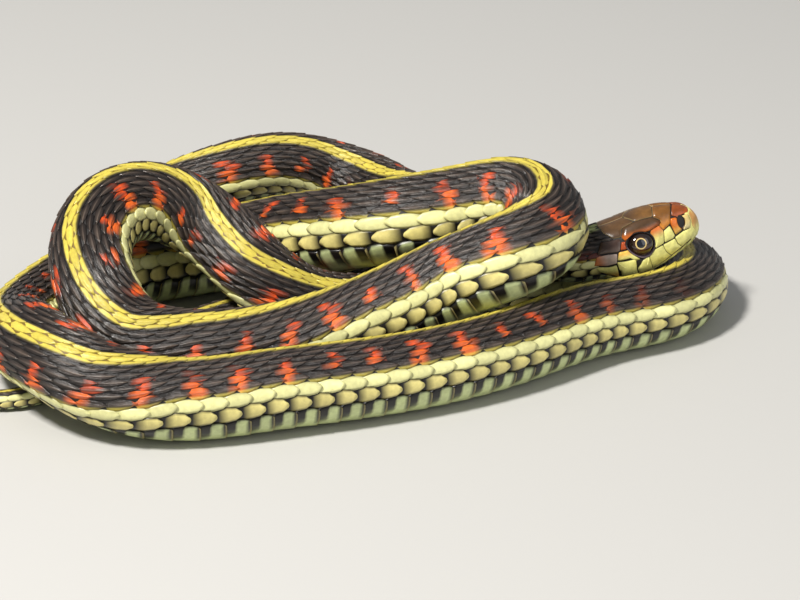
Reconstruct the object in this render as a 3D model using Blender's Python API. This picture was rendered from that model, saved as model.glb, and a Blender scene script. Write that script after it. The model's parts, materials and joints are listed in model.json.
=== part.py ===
# A garter snake resting in loose coils, life size. Lengths below are in millimetres unless a name says otherwise,
# and every point is brought to metres at the end. Z is up, the floor is z = 0, and the head looks towards +X.

import math

import bmesh
import bpy
import numpy as np
from mathutils import Vector

for old in list(bpy.data.objects):
    bpy.data.objects.remove(old, do_unlink=True)

# Driving dimensions
SECTION_SIDES = 20  # points round the body
SCUTE_LENGTH = 10.0  # one belly plate; the real ones are half as long
SCUTE_STEP = 0.4  # how far a plate's rear edge stands out from the next one
SCUTE_EDGE = 0.2  # length of the step
SCUTE_THIN = 6.0  # half width of the body below which the step fades
BELLY_FROM = 119.0  # degrees from the middle of the back to the edge of the belly plates
JOINT_GAP = 0.3  # between two neighbouring lengths
NECK_LENGTH = 46.0
TORSO_LENGTHS = 12
TAIL_LENGTHS = 4
VENT_AT = 0.765  # share of the body's length
BELLY_SQUARE = 0.97  # under 1 gives the belly its low corners
BEND_PINCH = 0.88  # inner side of a bend, as a share of the bend's radius
PATH_SAMPLES = 6000
AIM_REACH = 0.8  # the way the body runs is taken this far to each side
TURN_REACH = 1.5  # the same for how hard it bends
NECK_BLEND = 9.0  # length over which the neck turns into the head's direction
TIP_CUT = 0.2
HEAD_YAW = 12.0
HEAD_PITCH = 13.0
HEAD_SIDES = 32
HEAD_LENGTH = 25.9
HEAD_SQUARE_FROM = 3.0  # behind this the head's section is round like the neck's
CROWN_SQUARE = 0.82
THROAT_SQUARE = 0.84
SNOUT_ROUND = 4.2  # length over which the snout rounds off
SNOUT_POWER = 2.7
LEAST_HALF = 0.3
JAW_NARROW = 0.25  # how far the lower jaw stands inside the upper lip
JAW_LENGTH = 25.0
MOUTH_GAP = 0.3
LIP_RADIUS = 0.45
LIP_SINK = 0.15
CUT_REACH = 12.0  # the cutters for the mouth reach this far down and to each side
CENTRE_X = -13.19  # middle of the whole animal before it is moved to the origin
CENTRE_Y = 28.535

# The way the middle of the body goes, from the head to the tail tip: x, y, z and how far the back leans over to
# the right of the way it runs, in degrees.
ROUTE = [
    # neck: back from the head, over the root of the tail
    (43.5, 31.5, 17.0, 0),
    (37.5, 31.5, 16.5, 0),
    (31.0, 36.0, 18.5, 0),
    (25.5, 46.0, 16.0, 0),
    (20.0, 59.0, 11.0, 0),
    # rear strand, lying on the floor and going left
    (11.0, 72.5, 7.0, 0),
    (-2.0, 82.0, 6.5, 0),
    (-17.0, 85.5, 6.5, 0),
    (-32.0, 86.0, 7.0, 0),
    (-46.0, 83.5, 7.5, 0),
    # turn at the back left, rising
    (-55.5, 77.0, 10.5, 0),
    (-55.0, 69.0, 15.5, 0),
    (-47.0, 66.5, 20.0, 0),
    # rear arch, going right
    (-36.5, 70.0, 22.0, 8),
    (-26.0, 74.0, 21.5, 18),
    (-16.0, 75.0, 19.0, 25),
    (-6.0, 70.2, 17.2, 25),
    # over the tail, then down under the upper loop
    (0.5, 61.5, 17.2, 15),
    (3.5, 52.0, 19.0, 0),
    (3.5, 42.0, 13.5, 0),
    (1.0, 31.0, 7.9, -10),
    (-10.0, 21.6, 7.9, -20),
    # slanting strand, climbing to the left loop
    (-22.8, 20.0, 10.8, -25),
    (-33.6, 22.5, 17.8, -35),
    (-44.2, 31.6, 24.2, -26),
    # left loop: its top, its outer side and its foot
    (-55.5, 32.5, 29.5, -10),
    (-65.0, 25.0, 30.5, 10),
    (-69.0, 13.5, 26.5, 27),
    (-66.5, 3.0, 20.0, 35),
    (-59.5, -3.5, 13.0, 38),
    (-45.5, -5.5, 10.0, 10),
    # upper strand in front, going right and climbing
    (-27.0, -2.0, 10.0, -5),
    (-8.0, 3.5, 13.5, -25),
    (10.0, 9.0, 20.0, -25),
    (24.0, 10.0, 26.0, -22),
    # upper right bend
    (32.5, 17.5, 29.5, -12),
    (28.5, 25.8, 32.2, 5),
    (16.0, 28.6, 30.2, 15),
    # back to the left, going down to the floor
    (0.0, 27.4, 27.4, 20),
    (-16.0, 34.2, 21.6, 20),
    (-29.5, 44.5, 15.0, 20),
    (-42.5, 48.0, 10.5, 25),
    (-56.0, 44.5, 9.5, 25),
    (-70.0, 35.5, 9.5, 28),
    # outer left bend, lifted over the tail
    (-80.0, 20.0, 9.5, 30),
    (-84.0, 0.5, 12.0, 35),
    (-78.0, -15.5, 15.5, 38),
    (-65.5, -25.0, 12.5, 26),
    # front strand, on the floor and going right
    (-48.5, -26.8, 9.0, -15),
    (-29.0, -22.6, 8.9, -22),
    (-10.0, -16.8, 8.7, -22),
    (8.5, -9.5, 8.5, -25),
    (27.0, 1.8, 8.5, -22),
    (44.0, 14.2, 8.5, -20),
    (60.9, 23.3, 8.1, -18),
    # right bend, where the tail begins
    (68.5, 36.9, 7.7, -14),
    (64.5, 49.5, 7.0, -12),
    (53.5, 51.5, 6.5, -10),
    # tail, going left under the coils
    (41.0, 44.5, 6.0, 0),
    (31.0, 38.5, 6.0, 0),
    (22.0, 37.5, 5.5, 0),
    (14.5, 47.3, 5.4, 0),
    (4.0, 53.5, 5.0, 0),
    (-7.5, 44.5, 4.9, 0),
    (-18.0, 34.4, 4.7, 0),
    (-32.0, 29.2, 4.4, 0),
    (-51.0, 17.5, 4.0, 0),
    (-67.0, 4.5, 3.4, 0),
    (-75.3, -8.4, 2.9, 0),
    (-85.8, -13.8, 2.45, 0),
    # tail tip, curled round the outer left bend
    (-95.5, -12.0, 2.0, 0),
    (-100.5, 0.0, 1.5, 0),
    (-101.0, 20.0, 0.5, 0),
]

# Half the body's width: thousandths of its length from the neck, millimetres.
GIRTH = [
    (0, 6.2), (10, 6.1), (40, 6.3), (90, 7.0), (140, 7.5), (190, 7.6), (240, 7.9), (280, 8.9), (320, 9.3),
    (380, 9.5), (440, 9.8), (500, 9.8), (560, 9.6), (620, 9.2), (680, 8.8), (730, 8.6), (755, 8.2),
    (775, 7.2), (790, 6.5), (830, 5.6), (880, 4.6), (920, 3.6), (960, 2.4), (985, 1.5), (1000, 0.6),
]

# Head sections from the neck to the snout: distance, half width, top, bottom, height of the widest level.
HEAD_SECTIONS = [
    (0.0, 6.15, 6.1, -6.2, 0.0),
    (3.0, 6.8, 6.3, -6.9, -1.2),
    (6.0, 7.2, 6.4, -7.4, -2.2),
    (9.0, 7.1, 6.7, -7.5, -2.6),
    (12.0, 6.6, 7.1, -7.4, -2.6),
    (15.0, 5.8, 7.3, -7.0, -2.3),
    (18.0, 5.0, 7.0, -6.2, -1.9),
    (21.0, 4.3, 6.3, -5.2, -1.3),
    (23.5, 3.7, 5.4, -4.3, -0.8),
    (25.9, 3.1, 4.2, -3.2, -0.2),
]
HEAD_RINGS = (0.15, 2.5, 5.0, 7.5, 10.0, 12.5, 15.0, 17.5, 20.0, 22.0, 23.4, 24.5, 25.3, 25.7, 25.86)

# The line of the mouth seen from the side: distance from the neck, height.
MOUTH_LINE = [
    (1.5, -2.8), (3.0, -4.0), (5.0, -5.2), (8.0, -6.0), (11.0, -6.1),
    (14.0, -5.7), (17.0, -4.8), (21.0, -3.6), (24.0, -2.0), (28.0, -1.2),
]

EYE_CENTRE = (11.0, 5.0, 1.25)
EYE_RADII = (3.2, 2.2, 2.8)
EYE_LIFT = 15.0  # degrees that the eye looks up
EYE_SWING = 8.0  # degrees that it looks forward
BROW_CENTRE = (11.6, 4.2, 4.7)
BROW_RADII = (3.9, 1.6, 0.8)
BROW_TILT = 10.0  # degrees that the brow turns in towards the snout
BROW_LIFT = 12.0
NOSTRIL_CENTRE = (21.8, 3.9, 2.6)
NOSTRIL_RADII = (0.5, 0.6, 0.4)
NOSTRIL_SWING = 20.0

part = bpy.data.collections.new("garter_snake")
bpy.context.scene.collection.children.link(part)
cutters = bpy.data.collections.new("cutters")
bpy.context.scene.collection.children.link(cutters)


def material(name, colour, roughness):
    made = bpy.data.materials.new(name)
    made.use_nodes = True
    shader = made.node_tree.nodes["Principled BSDF"]
    shader.inputs["Base Color"].default_value = (*colour, 1.0)
    shader.inputs["Roughness"].default_value = roughness
    return made


def smooth_path(points):
    """A natural cubic through the points, sampled finely: positions and the knot value of each sample."""
    steps = np.linalg.norm(np.diff(points[:, :3], axis=0), axis=1) ** 0.75
    knots = np.concatenate([[0.0], np.cumsum(steps)])
    count = len(points)
    system = np.eye(count)
    right = np.zeros((count, 3))
    for i in range(1, count - 1):
        system[i, i - 1] = steps[i - 1]
        system[i, i] = 2.0 * (steps[i - 1] + steps[i])
        system[i, i + 1] = steps[i]
        after = (points[i + 1, :3] - points[i, :3]) / steps[i]
        before = (points[i, :3] - points[i - 1, :3]) / steps[i - 1]
        right[i] = 6.0 * (after - before)
    bend = np.linalg.solve(system, right)
    at = np.linspace(0.0, knots[-1], PATH_SAMPLES)
    k = np.clip(np.searchsorted(knots, at, side="right") - 1, 0, count - 2)
    h = steps[k][:, None]
    a = (knots[k + 1] - at)[:, None] / h
    b = 1.0 - a
    low = points[k, :3]
    high = points[k + 1, :3]
    cubic = ((a**3 - a) * bend[k] + (b**3 - b) * bend[k + 1]) * h**2 / 6.0
    return a * low + b * high + cubic, at, knots


route = np.array(ROUTE, dtype=float)
fine, fine_knots, route_knots = smooth_path(route)
fine_length = np.concatenate([[0.0], np.cumsum(np.linalg.norm(np.diff(fine, axis=0), axis=1))])
TOTAL = float(fine_length[-1])
fine_lean = np.interp(fine_knots, route_knots, route[:, 3])

yaw = math.radians(HEAD_YAW)
pitch = math.radians(HEAD_PITCH)
head_forward = np.array([math.cos(pitch) * math.cos(yaw), math.cos(pitch) * math.sin(yaw), math.sin(pitch)])
head_left = np.cross((0.0, 0.0, 1.0), head_forward)
head_left /= np.linalg.norm(head_left)
head_up = np.cross(head_forward, head_left)
neck_joint = route[0, :3]


def along(s, values):
    return np.array([np.interp(s, fine_length, values[:, i]) for i in range(3)])


def direction(s):
    step = along(min(s + AIM_REACH, TOTAL), fine) - along(max(s - AIM_REACH, 0.0), fine)
    step /= np.linalg.norm(step)
    if s < NECK_BLEND:
        share = (s / NECK_BLEND) ** 2 * (3.0 - 2.0 * s / NECK_BLEND)
        step = step * share - head_forward * (1.0 - share)
        step /= np.linalg.norm(step)
    return step


def ring(s, dip=0.0):
    """The body's section at the distance s from the neck joint, its belly drawn in by dip."""
    middle = along(s, fine)
    run = direction(s)
    half = float(np.interp(1000.0 * s / TOTAL, *zip(*GIRTH)))
    upright = np.array([0.0, 0.0, 1.0]) - run * run[2]
    upright /= np.linalg.norm(upright)
    side = np.cross(run, upright)
    lean = math.radians(float(np.interp(s, fine_length, fine_lean)))
    back = upright * math.cos(lean) + side * math.sin(lean)
    across = np.cross(run, back)
    turn = direction(min(s + TURN_REACH, TOTAL)) - direction(max(s - TURN_REACH, 0.0))
    turn = turn / (2.0 * TURN_REACH)
    curve = float(np.linalg.norm(turn))
    points = []
    for i in range(SECTION_SIDES):
        angle = 2.0 * math.pi * i / SECTION_SIDES
        x = math.sin(angle)
        z = math.cos(angle)
        if z < 0.0:
            x = math.copysign(abs(x) ** BELLY_SQUARE, x)
            z = -(abs(z) ** BELLY_SQUARE)
        reach_out = half
        if 180.0 - abs(math.degrees(angle) - 180.0) > BELLY_FROM:
            reach_out = half - dip * min(1.0, half / SCUTE_THIN)
        offset = (across * x + back * z) * reach_out
        if curve > 1e-4:
            inward = turn / curve
            reach = float(offset @ inward)
            limit = BEND_PINCH / curve
            if reach > limit:
                offset = offset - inward * (reach - limit)
        point = middle + offset
        point[2] = max(point[2], 0.0)
        points.append(point)
    return points


def scuted_rings(first, last):
    """Sections from first to last, with a step in the belly behind each plate."""
    count = max(1, round((last - first) / SCUTE_LENGTH))
    plate = (last - first) / count
    sections = []
    for i in range(count):
        begin = first + plate * i + (SCUTE_EDGE if i else 0.0)
        sections.append(ring(begin, SCUTE_STEP))
        sections.append(ring(first + plate * (i + 0.5), SCUTE_STEP / 2.0))
        sections.append(ring(first + plate * (i + 1)))
    return sections


def to_metres(point):
    return Vector(((point[0] - CENTRE_X) / 1000.0, (point[1] - CENTRE_Y) / 1000.0, point[2] / 1000.0))


def loft(name, rings, surface, collection=part):
    """A closed solid through the rings, with a fan over each end."""
    mesh = bmesh.new()
    rows = [[mesh.verts.new(to_metres(point)) for point in points] for points in rings]
    sides = len(rows[0])
    for low, high in zip(rows, rows[1:]):
        for i in range(sides):
            j = (i + 1) % sides
            mesh.faces.new((low[i], low[j], high[j], high[i]))
    for row, points in ((rows[0], rings[0]), (rows[-1], rings[-1])):
        centre = mesh.verts.new(to_metres(sum(points) / len(points)))
        for i in range(sides):
            mesh.faces.new((row[i], row[(i + 1) % sides], centre))
    bmesh.ops.recalc_face_normals(mesh, faces=mesh.faces)
    data = bpy.data.meshes.new(name)
    mesh.to_mesh(data)
    mesh.free()
    made = bpy.data.objects.new(name, data)
    if surface is not None:
        data.materials.append(surface)
    collection.objects.link(made)
    return made


# Body lengths
vent = VENT_AT * TOTAL
ends = [0.0, NECK_LENGTH]
ends += [NECK_LENGTH + (vent - NECK_LENGTH) * (i + 1) / TORSO_LENGTHS for i in range(TORSO_LENGTHS)]
ends += [vent + (TOTAL - vent) * (i + 1) / TAIL_LENGTHS for i in range(TAIL_LENGTHS)]
names = ["neck"]
names += ["torso_%02d" % (i + 1) for i in range(TORSO_LENGTHS)]
names += ["tail_%d" % (i + 1) for i in range(TAIL_LENGTHS)]
for name, start, end in zip(names, ends, ends[1:]):
    first = start + JOINT_GAP / 2.0
    last = end - (TIP_CUT if end == ends[-1] else JOINT_GAP / 2.0)
    skin = material(name, (0.055, 0.045, 0.04), 0.45)
    loft(name, scuted_rings(first, last), skin)


# Head
def head_point(x, y, z):
    return neck_joint + head_forward * x + head_left * y + head_up * z


def head_measures(x):
    """Half width, top, bottom and widest level of the head, rounded off towards the snout."""
    table = np.array(HEAD_SECTIONS)
    half, top, bottom, level = (float(np.interp(x, table[:, 0], table[:, i])) for i in range(1, 5))
    closing = min(max((x - (HEAD_LENGTH - SNOUT_ROUND)) / SNOUT_ROUND, 0.0), 1.0)
    closing = (1.0 - closing**SNOUT_POWER) ** (1.0 / SNOUT_POWER)
    return half * closing, level + (top - level) * closing, level + (bottom - level) * closing, level


def section_power(x, rise):
    """Under 1 squares the section's corners; the neck end stays round."""
    full = CROWN_SQUARE if rise > 0.0 else THROAT_SQUARE
    return 1.0 + (full - 1.0) * min(x / HEAD_SQUARE_FROM, 1.0)


def head_ring(x, narrow):
    half, top, bottom, level = head_measures(x)
    points = []
    for i in range(HEAD_SIDES):
        angle = 2.0 * math.pi * i / HEAD_SIDES
        side = math.sin(angle)
        rise = math.cos(angle)
        power = section_power(x, rise)
        side = math.copysign(abs(side) ** power, side)
        rise = math.copysign(abs(rise) ** power, rise)
        height = level + rise * (top - level if rise > 0.0 else level - bottom)
        points.append(head_point(x, -side * max(half - narrow, LEAST_HALF), height))
    return points


def cheek(x, z):
    """How far the side of the head stands from its middle at the height z."""
    half, top, bottom, level = head_measures(x)
    reach = (z - level) / (top - level if z > level else level - bottom)
    power = section_power(x, reach)
    flat = min(abs(reach), 1.0) ** (1.0 / power)
    return half * math.sqrt(max(1.0 - flat * flat, 0.0)) ** power


def lip_path():
    """Along the upper lip, up one side, round the snout and back down the other."""
    side = []
    for x in (3.0, 5.0, 7.5, 10.0, 12.5, 15.0, 17.5, 20.0, 22.0, 23.6, 24.8, 25.4):
        z = float(np.interp(x, *zip(*MOUTH_LINE))) + LIP_RADIUS
        side.append((x, cheek(x, z) - LIP_SINK, z))
    tip = (HEAD_LENGTH - LEAST_HALF, 0.0, side[-1][2])
    return side + [tip] + [(x, -y, z) for x, y, z in reversed(side)]


def tube(name, path, radius, sides):
    """A helper: a round bar along a path on the head, thinned to nothing at both ends."""
    points = [head_point(*place) for place in path]
    rings = []
    for i, point in enumerate(points):
        run = points[min(i + 1, len(points) - 1)] - points[max(i - 1, 0)]
        run = run / np.linalg.norm(run)
        out = np.cross(run, head_up)
        out = out / np.linalg.norm(out)
        up = np.cross(out, run)
        size = radius * (0.4 if i in (0, len(points) - 1) else 1.0)
        turns = [2.0 * math.pi * k / sides for k in range(sides)]
        rings.append([point + (out * math.cos(t) + up * math.sin(t)) * size for t in turns])
    made = loft(name, rings, None, cutters)
    made.hide_render = True
    made.display_type = "WIRE"
    return made


def slab(name, outline, reach):
    """A helper that fills the outline, seen from the side, across the whole head."""
    mesh = bmesh.new()
    left = [mesh.verts.new(to_metres(head_point(x, reach, z))) for x, z in outline]
    right = [mesh.verts.new(to_metres(head_point(x, -reach, z))) for x, z in outline]
    count = len(outline)
    for i in range(count):
        j = (i + 1) % count
        mesh.faces.new((left[i], left[j], right[j], right[i]))
    mesh.faces.new(left)
    mesh.faces.new(list(reversed(right)))
    bmesh.ops.recalc_face_normals(mesh, faces=mesh.faces)
    data = bpy.data.meshes.new(name)
    mesh.to_mesh(data)
    mesh.free()
    made = bpy.data.objects.new(name, data)
    made.hide_render = True
    made.display_type = "WIRE"
    cutters.objects.link(made)
    return made


def ball(name, centre, radii, swing, lift, surface, collection, rings=14, segments=24):
    """An ellipsoid on the head: radii along, across and up, swung about the upright and lifted, in degrees."""
    mesh = bmesh.new()
    bmesh.ops.create_uvsphere(mesh, u_segments=segments, v_segments=rings, radius=1.0)
    swing = math.radians(swing)
    lift = math.radians(lift)
    for vert in mesh.verts:
        x = vert.co.x * radii[0]
        y = vert.co.z * radii[1]
        z = vert.co.y * radii[2]
        y, z = y * math.cos(lift) - z * math.sin(lift), y * math.sin(lift) + z * math.cos(lift)
        x, y = x * math.cos(swing) - y * math.sin(swing), x * math.sin(swing) + y * math.cos(swing)
        vert.co = to_metres(head_point(centre[0] + x, centre[1] + y, centre[2] + z))
    bmesh.ops.reverse_faces(mesh, faces=mesh.faces)
    data = bpy.data.meshes.new(name)
    mesh.to_mesh(data)
    mesh.free()
    made = bpy.data.objects.new(name, data)
    if surface is not None:
        data.materials.append(surface)
    else:
        made.hide_render = True
        made.display_type = "WIRE"
    collection.objects.link(made)
    return made


def boolean(target, other, operation):
    step = target.modifiers.new(other.name, "BOOLEAN")
    step.operation = operation
    step.solver = "EXACT"
    step.object = other


head_skin = material("head", (0.09, 0.07, 0.045), 0.35)
jaw_skin = material("lower_jaw", (0.55, 0.6, 0.35), 0.4)
eye_skin = material("eye", (0.01, 0.01, 0.012), 0.08)
head = loft("head", [head_ring(x, 0.0) for x in HEAD_RINGS], head_skin)
jaw = loft("lower_jaw", [head_ring(x, JAW_NARROW) for x in HEAD_RINGS if x < JAW_LENGTH], jaw_skin)
boolean(head, tube("upper_lip", lip_path(), LIP_RADIUS, 6), "UNION")
corner_x, corner_z = MOUTH_LINE[0]
front_x = MOUTH_LINE[-1][0]
below = [(corner_x, -CUT_REACH), *MOUTH_LINE, (front_x, -CUT_REACH)]
inside = [(corner_x + MOUTH_GAP, -CUT_REACH), (corner_x + MOUTH_GAP, corner_z - MOUTH_GAP)]
inside += [(x, z - MOUTH_GAP) for x, z in MOUTH_LINE[1:]] + [(front_x, -CUT_REACH)]
for side, label in ((1.0, "left"), (-1.0, "right")):
    x, y, z = BROW_CENTRE
    centre = (x, y * side, z)
    brow = ball("brow_" + label, centre, BROW_RADII, -BROW_TILT * side, -BROW_LIFT * side, None, cutters, 8, 16)
    boolean(head, brow, "UNION")
boolean(head, slab("below_mouth", below, CUT_REACH), "DIFFERENCE")
boolean(jaw, slab("jaw_room", inside, CUT_REACH), "INTERSECT")
for side, label in ((1.0, "left"), (-1.0, "right")):
    x, y, z = EYE_CENTRE
    centre = (x, y * side, z)
    room = tuple(r + JOINT_GAP for r in EYE_RADII)
    ball("eye_" + label, centre, EYE_RADII, -EYE_SWING * side, EYE_LIFT * side, eye_skin, part)
    socket = ball("socket_" + label, centre, room, -EYE_SWING * side, EYE_LIFT * side, None, cutters)
    boolean(head, socket, "DIFFERENCE")
    x, y, z = NOSTRIL_CENTRE
    centre = (x, y * side, z)
    pit = ball("nostril_" + label, centre, NOSTRIL_RADII, -NOSTRIL_SWING * side, 0.0, None, cutters, 8, 12)
    boolean(head, pit, "DIFFERENCE")
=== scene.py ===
# A garter snake resting in loose coils, life size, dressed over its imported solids.
# Metres, Z up, floor at z = 0; the head looks towards +X. Angles round the body are in radians from the
# middle of the back.

import json
import math

import bmesh
import bpy
import numpy as np
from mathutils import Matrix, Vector
from mathutils.bvhtree import BVHTree

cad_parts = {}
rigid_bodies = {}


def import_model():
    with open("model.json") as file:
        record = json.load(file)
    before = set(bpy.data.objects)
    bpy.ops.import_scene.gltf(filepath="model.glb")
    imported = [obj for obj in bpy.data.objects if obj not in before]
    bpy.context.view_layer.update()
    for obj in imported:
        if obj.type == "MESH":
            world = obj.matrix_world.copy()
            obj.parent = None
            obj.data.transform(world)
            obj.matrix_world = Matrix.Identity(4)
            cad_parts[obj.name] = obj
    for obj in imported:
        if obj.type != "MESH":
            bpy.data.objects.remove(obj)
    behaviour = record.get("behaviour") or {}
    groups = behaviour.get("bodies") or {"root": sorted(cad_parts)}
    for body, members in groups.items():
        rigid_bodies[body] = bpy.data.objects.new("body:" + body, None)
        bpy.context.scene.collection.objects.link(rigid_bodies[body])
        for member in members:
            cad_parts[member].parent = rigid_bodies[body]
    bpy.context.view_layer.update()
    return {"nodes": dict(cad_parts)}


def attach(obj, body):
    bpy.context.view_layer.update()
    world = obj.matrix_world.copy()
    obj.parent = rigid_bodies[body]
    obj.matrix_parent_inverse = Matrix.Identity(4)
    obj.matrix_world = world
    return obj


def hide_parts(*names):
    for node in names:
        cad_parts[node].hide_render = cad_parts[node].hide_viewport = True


for old in list(bpy.data.objects):
    bpy.data.objects.remove(old, do_unlink=True)
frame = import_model()
MM = 0.001

# Skin
# One unbroken skin runs from the snout to the tail tip. It is thin, dark and elastic, and shows only between
# the scales. It lies a scale's thickness inside the solids, follows the spine, and is flat where it rests.
CENTRE = np.array([-13.19, 28.535, 0.0])
# The spine: a place, and how far the back leans to the left there, in degrees.
ROUTE = [
    # neck: back from the head, over the root of the tail
    (43.5, 31.5, 17.0, 0), (37.5, 31.5, 16.5, 0), (31.0, 36.0, 18.5, 0), (25.5, 46.0, 16.0, 0),
    (20.0, 59.0, 11.0, 0),
    # rear strand, lying on the floor and going left
    (11.0, 72.5, 7.0, 0), (-2.0, 82.0, 6.5, 0), (-17.0, 85.5, 6.5, 0), (-32.0, 86.0, 7.0, 0),
    (-46.0, 83.5, 7.5, 0),
    # turn at the back left, rising
    (-55.5, 77.0, 10.5, 0), (-55.0, 69.0, 15.5, 0), (-47.0, 66.5, 20.0, 0),
    # rear arch, going right
    (-36.5, 70.0, 22.0, 8), (-26.0, 74.0, 21.5, 18), (-16.0, 75.0, 19.0, 25),
    (-6.0, 70.2, 17.2, 25),
    # over the tail, then down under the upper loop
    (0.5, 61.5, 17.2, 15), (3.5, 52.0, 19.0, 0), (3.5, 42.0, 13.5, 0), (1.0, 31.0, 7.9, -10),
    (-10.0, 21.6, 7.9, -20),
    # slanting strand, climbing to the left loop
    (-22.8, 20.0, 10.8, -25), (-33.6, 22.5, 17.8, -35), (-44.2, 31.6, 24.2, -26),
    # left loop: its top, its outer side and its foot
    (-55.5, 32.5, 29.5, -10), (-65.0, 25.0, 30.5, 10), (-69.0, 13.5, 26.5, 27),
    (-66.5, 3.0, 20.0, 35), (-59.5, -3.5, 13.0, 38), (-45.5, -5.5, 10.0, 10),
    # upper strand in front, going right and climbing
    (-27.0, -2.0, 10.0, -5), (-8.0, 3.5, 13.5, -25), (10.0, 9.0, 20.0, -25),
    (24.0, 10.0, 26.0, -22),
    # upper right bend
    (32.5, 17.5, 29.5, -12), (28.5, 25.8, 32.2, 5), (16.0, 28.6, 30.2, 15),
    # back to the left, going down to the floor
    (0.0, 27.4, 27.4, 20), (-16.0, 34.2, 21.6, 20), (-29.5, 44.5, 15.0, 20),
    (-42.5, 48.0, 10.5, 25), (-56.0, 44.5, 9.5, 25), (-70.0, 35.5, 9.5, 28),
    # outer left bend, lifted over the tail
    (-80.0, 20.0, 9.5, 30), (-84.0, 0.5, 12.0, 35), (-78.0, -15.5, 15.5, 38),
    (-65.5, -25.0, 12.5, 26),
    # front strand, on the floor and going right
    (-48.5, -26.8, 9.0, -15), (-29.0, -22.6, 8.9, -22), (-10.0, -16.8, 8.7, -22),
    (8.5, -9.5, 8.5, -25), (27.0, 1.8, 8.5, -22), (44.0, 14.2, 8.5, -20), (60.9, 23.3, 8.1, -18),
    # right bend, where the tail begins
    (68.5, 36.9, 7.7, -14), (64.5, 49.5, 7.0, -12), (53.5, 51.5, 6.5, -10),
    # tail, going left under the coils
    (41.0, 44.5, 6.0, 0), (31.0, 38.5, 6.0, 0), (22.0, 37.5, 5.5, 0), (14.5, 47.3, 5.4, 0),
    (4.0, 53.5, 5.0, 0), (-7.5, 44.5, 4.9, 0), (-18.0, 34.4, 4.7, 0), (-32.0, 29.2, 4.4, 0),
    (-51.0, 17.5, 4.0, 0), (-67.0, 4.5, 3.4, 0), (-75.3, -8.4, 2.9, 0), (-85.8, -13.8, 2.45, 0),
    # tail tip, curled round the outer left bend
    (-95.5, -12.0, 2.0, 0), (-100.5, 0.0, 1.5, 0), (-101.0, 20.0, 0.5, 0),
]
# Half width of the body at thousandths of its length.
GIRTH = [
    (0, 6.2), (10, 6.1), (40, 6.3), (90, 7.0), (140, 7.5), (190, 7.6), (240, 7.9), (280, 8.9), (320, 9.3),
    (380, 9.5), (440, 9.8), (500, 9.8), (560, 9.6), (620, 9.2), (680, 8.8), (730, 8.6), (755, 8.2),
    (775, 7.2), (790, 6.5), (830, 5.6), (880, 4.6), (920, 3.6), (960, 2.4), (985, 1.5), (1000, 0.6),
]
COAT_DEPTH = 0.35
BELLY_SQUARE = 0.97
BEND_PINCH = 0.88
SKIN_SIDES = 96
SKIN_STEP = 1.6
HEAD_STEP = 0.35
SNOUT_TIP = 1.4
VENT_AT = 0.765
HEAD_YAW = math.radians(12.0)
HEAD_PITCH = math.radians(13.0)
HEAD_LENGTH = 25.9
SNOUT_ROUND = 4.2
# Distance in front of the neck joint, half width, top, bottom and widest level of the head.
HEAD_SECTIONS = [
    (0.0, 6.15, 6.1, -6.2, 0.0), (3.0, 6.8, 6.3, -6.9, -1.2), (6.0, 7.2, 6.4, -7.4, -2.2),
    (9.0, 7.1, 6.7, -7.5, -2.6), (12.0, 6.6, 7.1, -7.4, -2.6), (15.0, 5.8, 7.3, -7.0, -2.3),
    (18.0, 5.0, 7.0, -6.2, -1.9), (21.0, 4.3, 6.3, -5.2, -1.3), (23.5, 3.7, 5.4, -4.3, -0.8),
    (25.9, 3.1, 4.2, -3.2, -0.2),
]
HEAD_SQUARE_FROM = 3.0
CROWN_SQUARE = 0.82
THROAT_SQUARE = 0.84
SNOUT_POWER = 2.7
LEAST_HALF = 0.05
EYE_CENTRE = (11.0, 5.0, 1.25)
EYE_RADII = (3.2, 2.2, 2.8)
SOCKET_DEPTH = 1.6
SOCKET_REACH = 1.25
WALK_SAMPLES = 9000
KNOT_POWER = 0.75  # keeps the curve from bulging where the route's points lie close
SPINE_STEP = 0.25
NECK_EASE = 9.0  # length over which the neck turns from the head's own line
TURN_WINDOW = 12
THIN_DEPTH = 0.3  # share of a thin tail's half width that the coat may take
SNOUT_RINGS = 12
SNOUT_INSET = 0.02
LAST_HEAD_RING = 0.2
TAIL_INSET = 0.4
TINY = 1e-6


def natural_cubic(knots, values, at):
    """The smooth curve through values given at knots, read at each of at."""
    knots = np.asarray(knots, dtype=float)
    values = np.asarray(values, dtype=float)
    steps = np.diff(knots)
    count = len(knots)
    system = np.eye(count)
    right = np.zeros_like(values)
    for i in range(1, count - 1):
        system[i, i - 1] = steps[i - 1]
        system[i, i] = 2.0 * (steps[i - 1] + steps[i])
        system[i, i + 1] = steps[i]
        after = (values[i + 1] - values[i]) / steps[i]
        before = (values[i] - values[i - 1]) / steps[i - 1]
        right[i] = 6.0 * (after - before)
    bend = np.linalg.solve(system, right)
    k = np.clip(np.searchsorted(knots, at, side="right") - 1, 0, count - 2)
    h = steps[k][:, None]
    a = (knots[k + 1] - at)[:, None] / h
    b = 1.0 - a
    cubic = ((a**3 - a) * bend[k] + (b**3 - b) * bend[k + 1]) * h**2 / 6.0
    return a * values[k] + b * values[k + 1] + cubic


def unit(vectors):
    return vectors / np.linalg.norm(vectors, axis=-1, keepdims=True)


head_forward = np.array([
    math.cos(HEAD_PITCH) * math.cos(HEAD_YAW),
    math.cos(HEAD_PITCH) * math.sin(HEAD_YAW),
    math.sin(HEAD_PITCH),
])
head_left = unit(np.cross((0.0, 0.0, 1.0), head_forward))
head_up = np.cross(head_forward, head_left)

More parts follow.
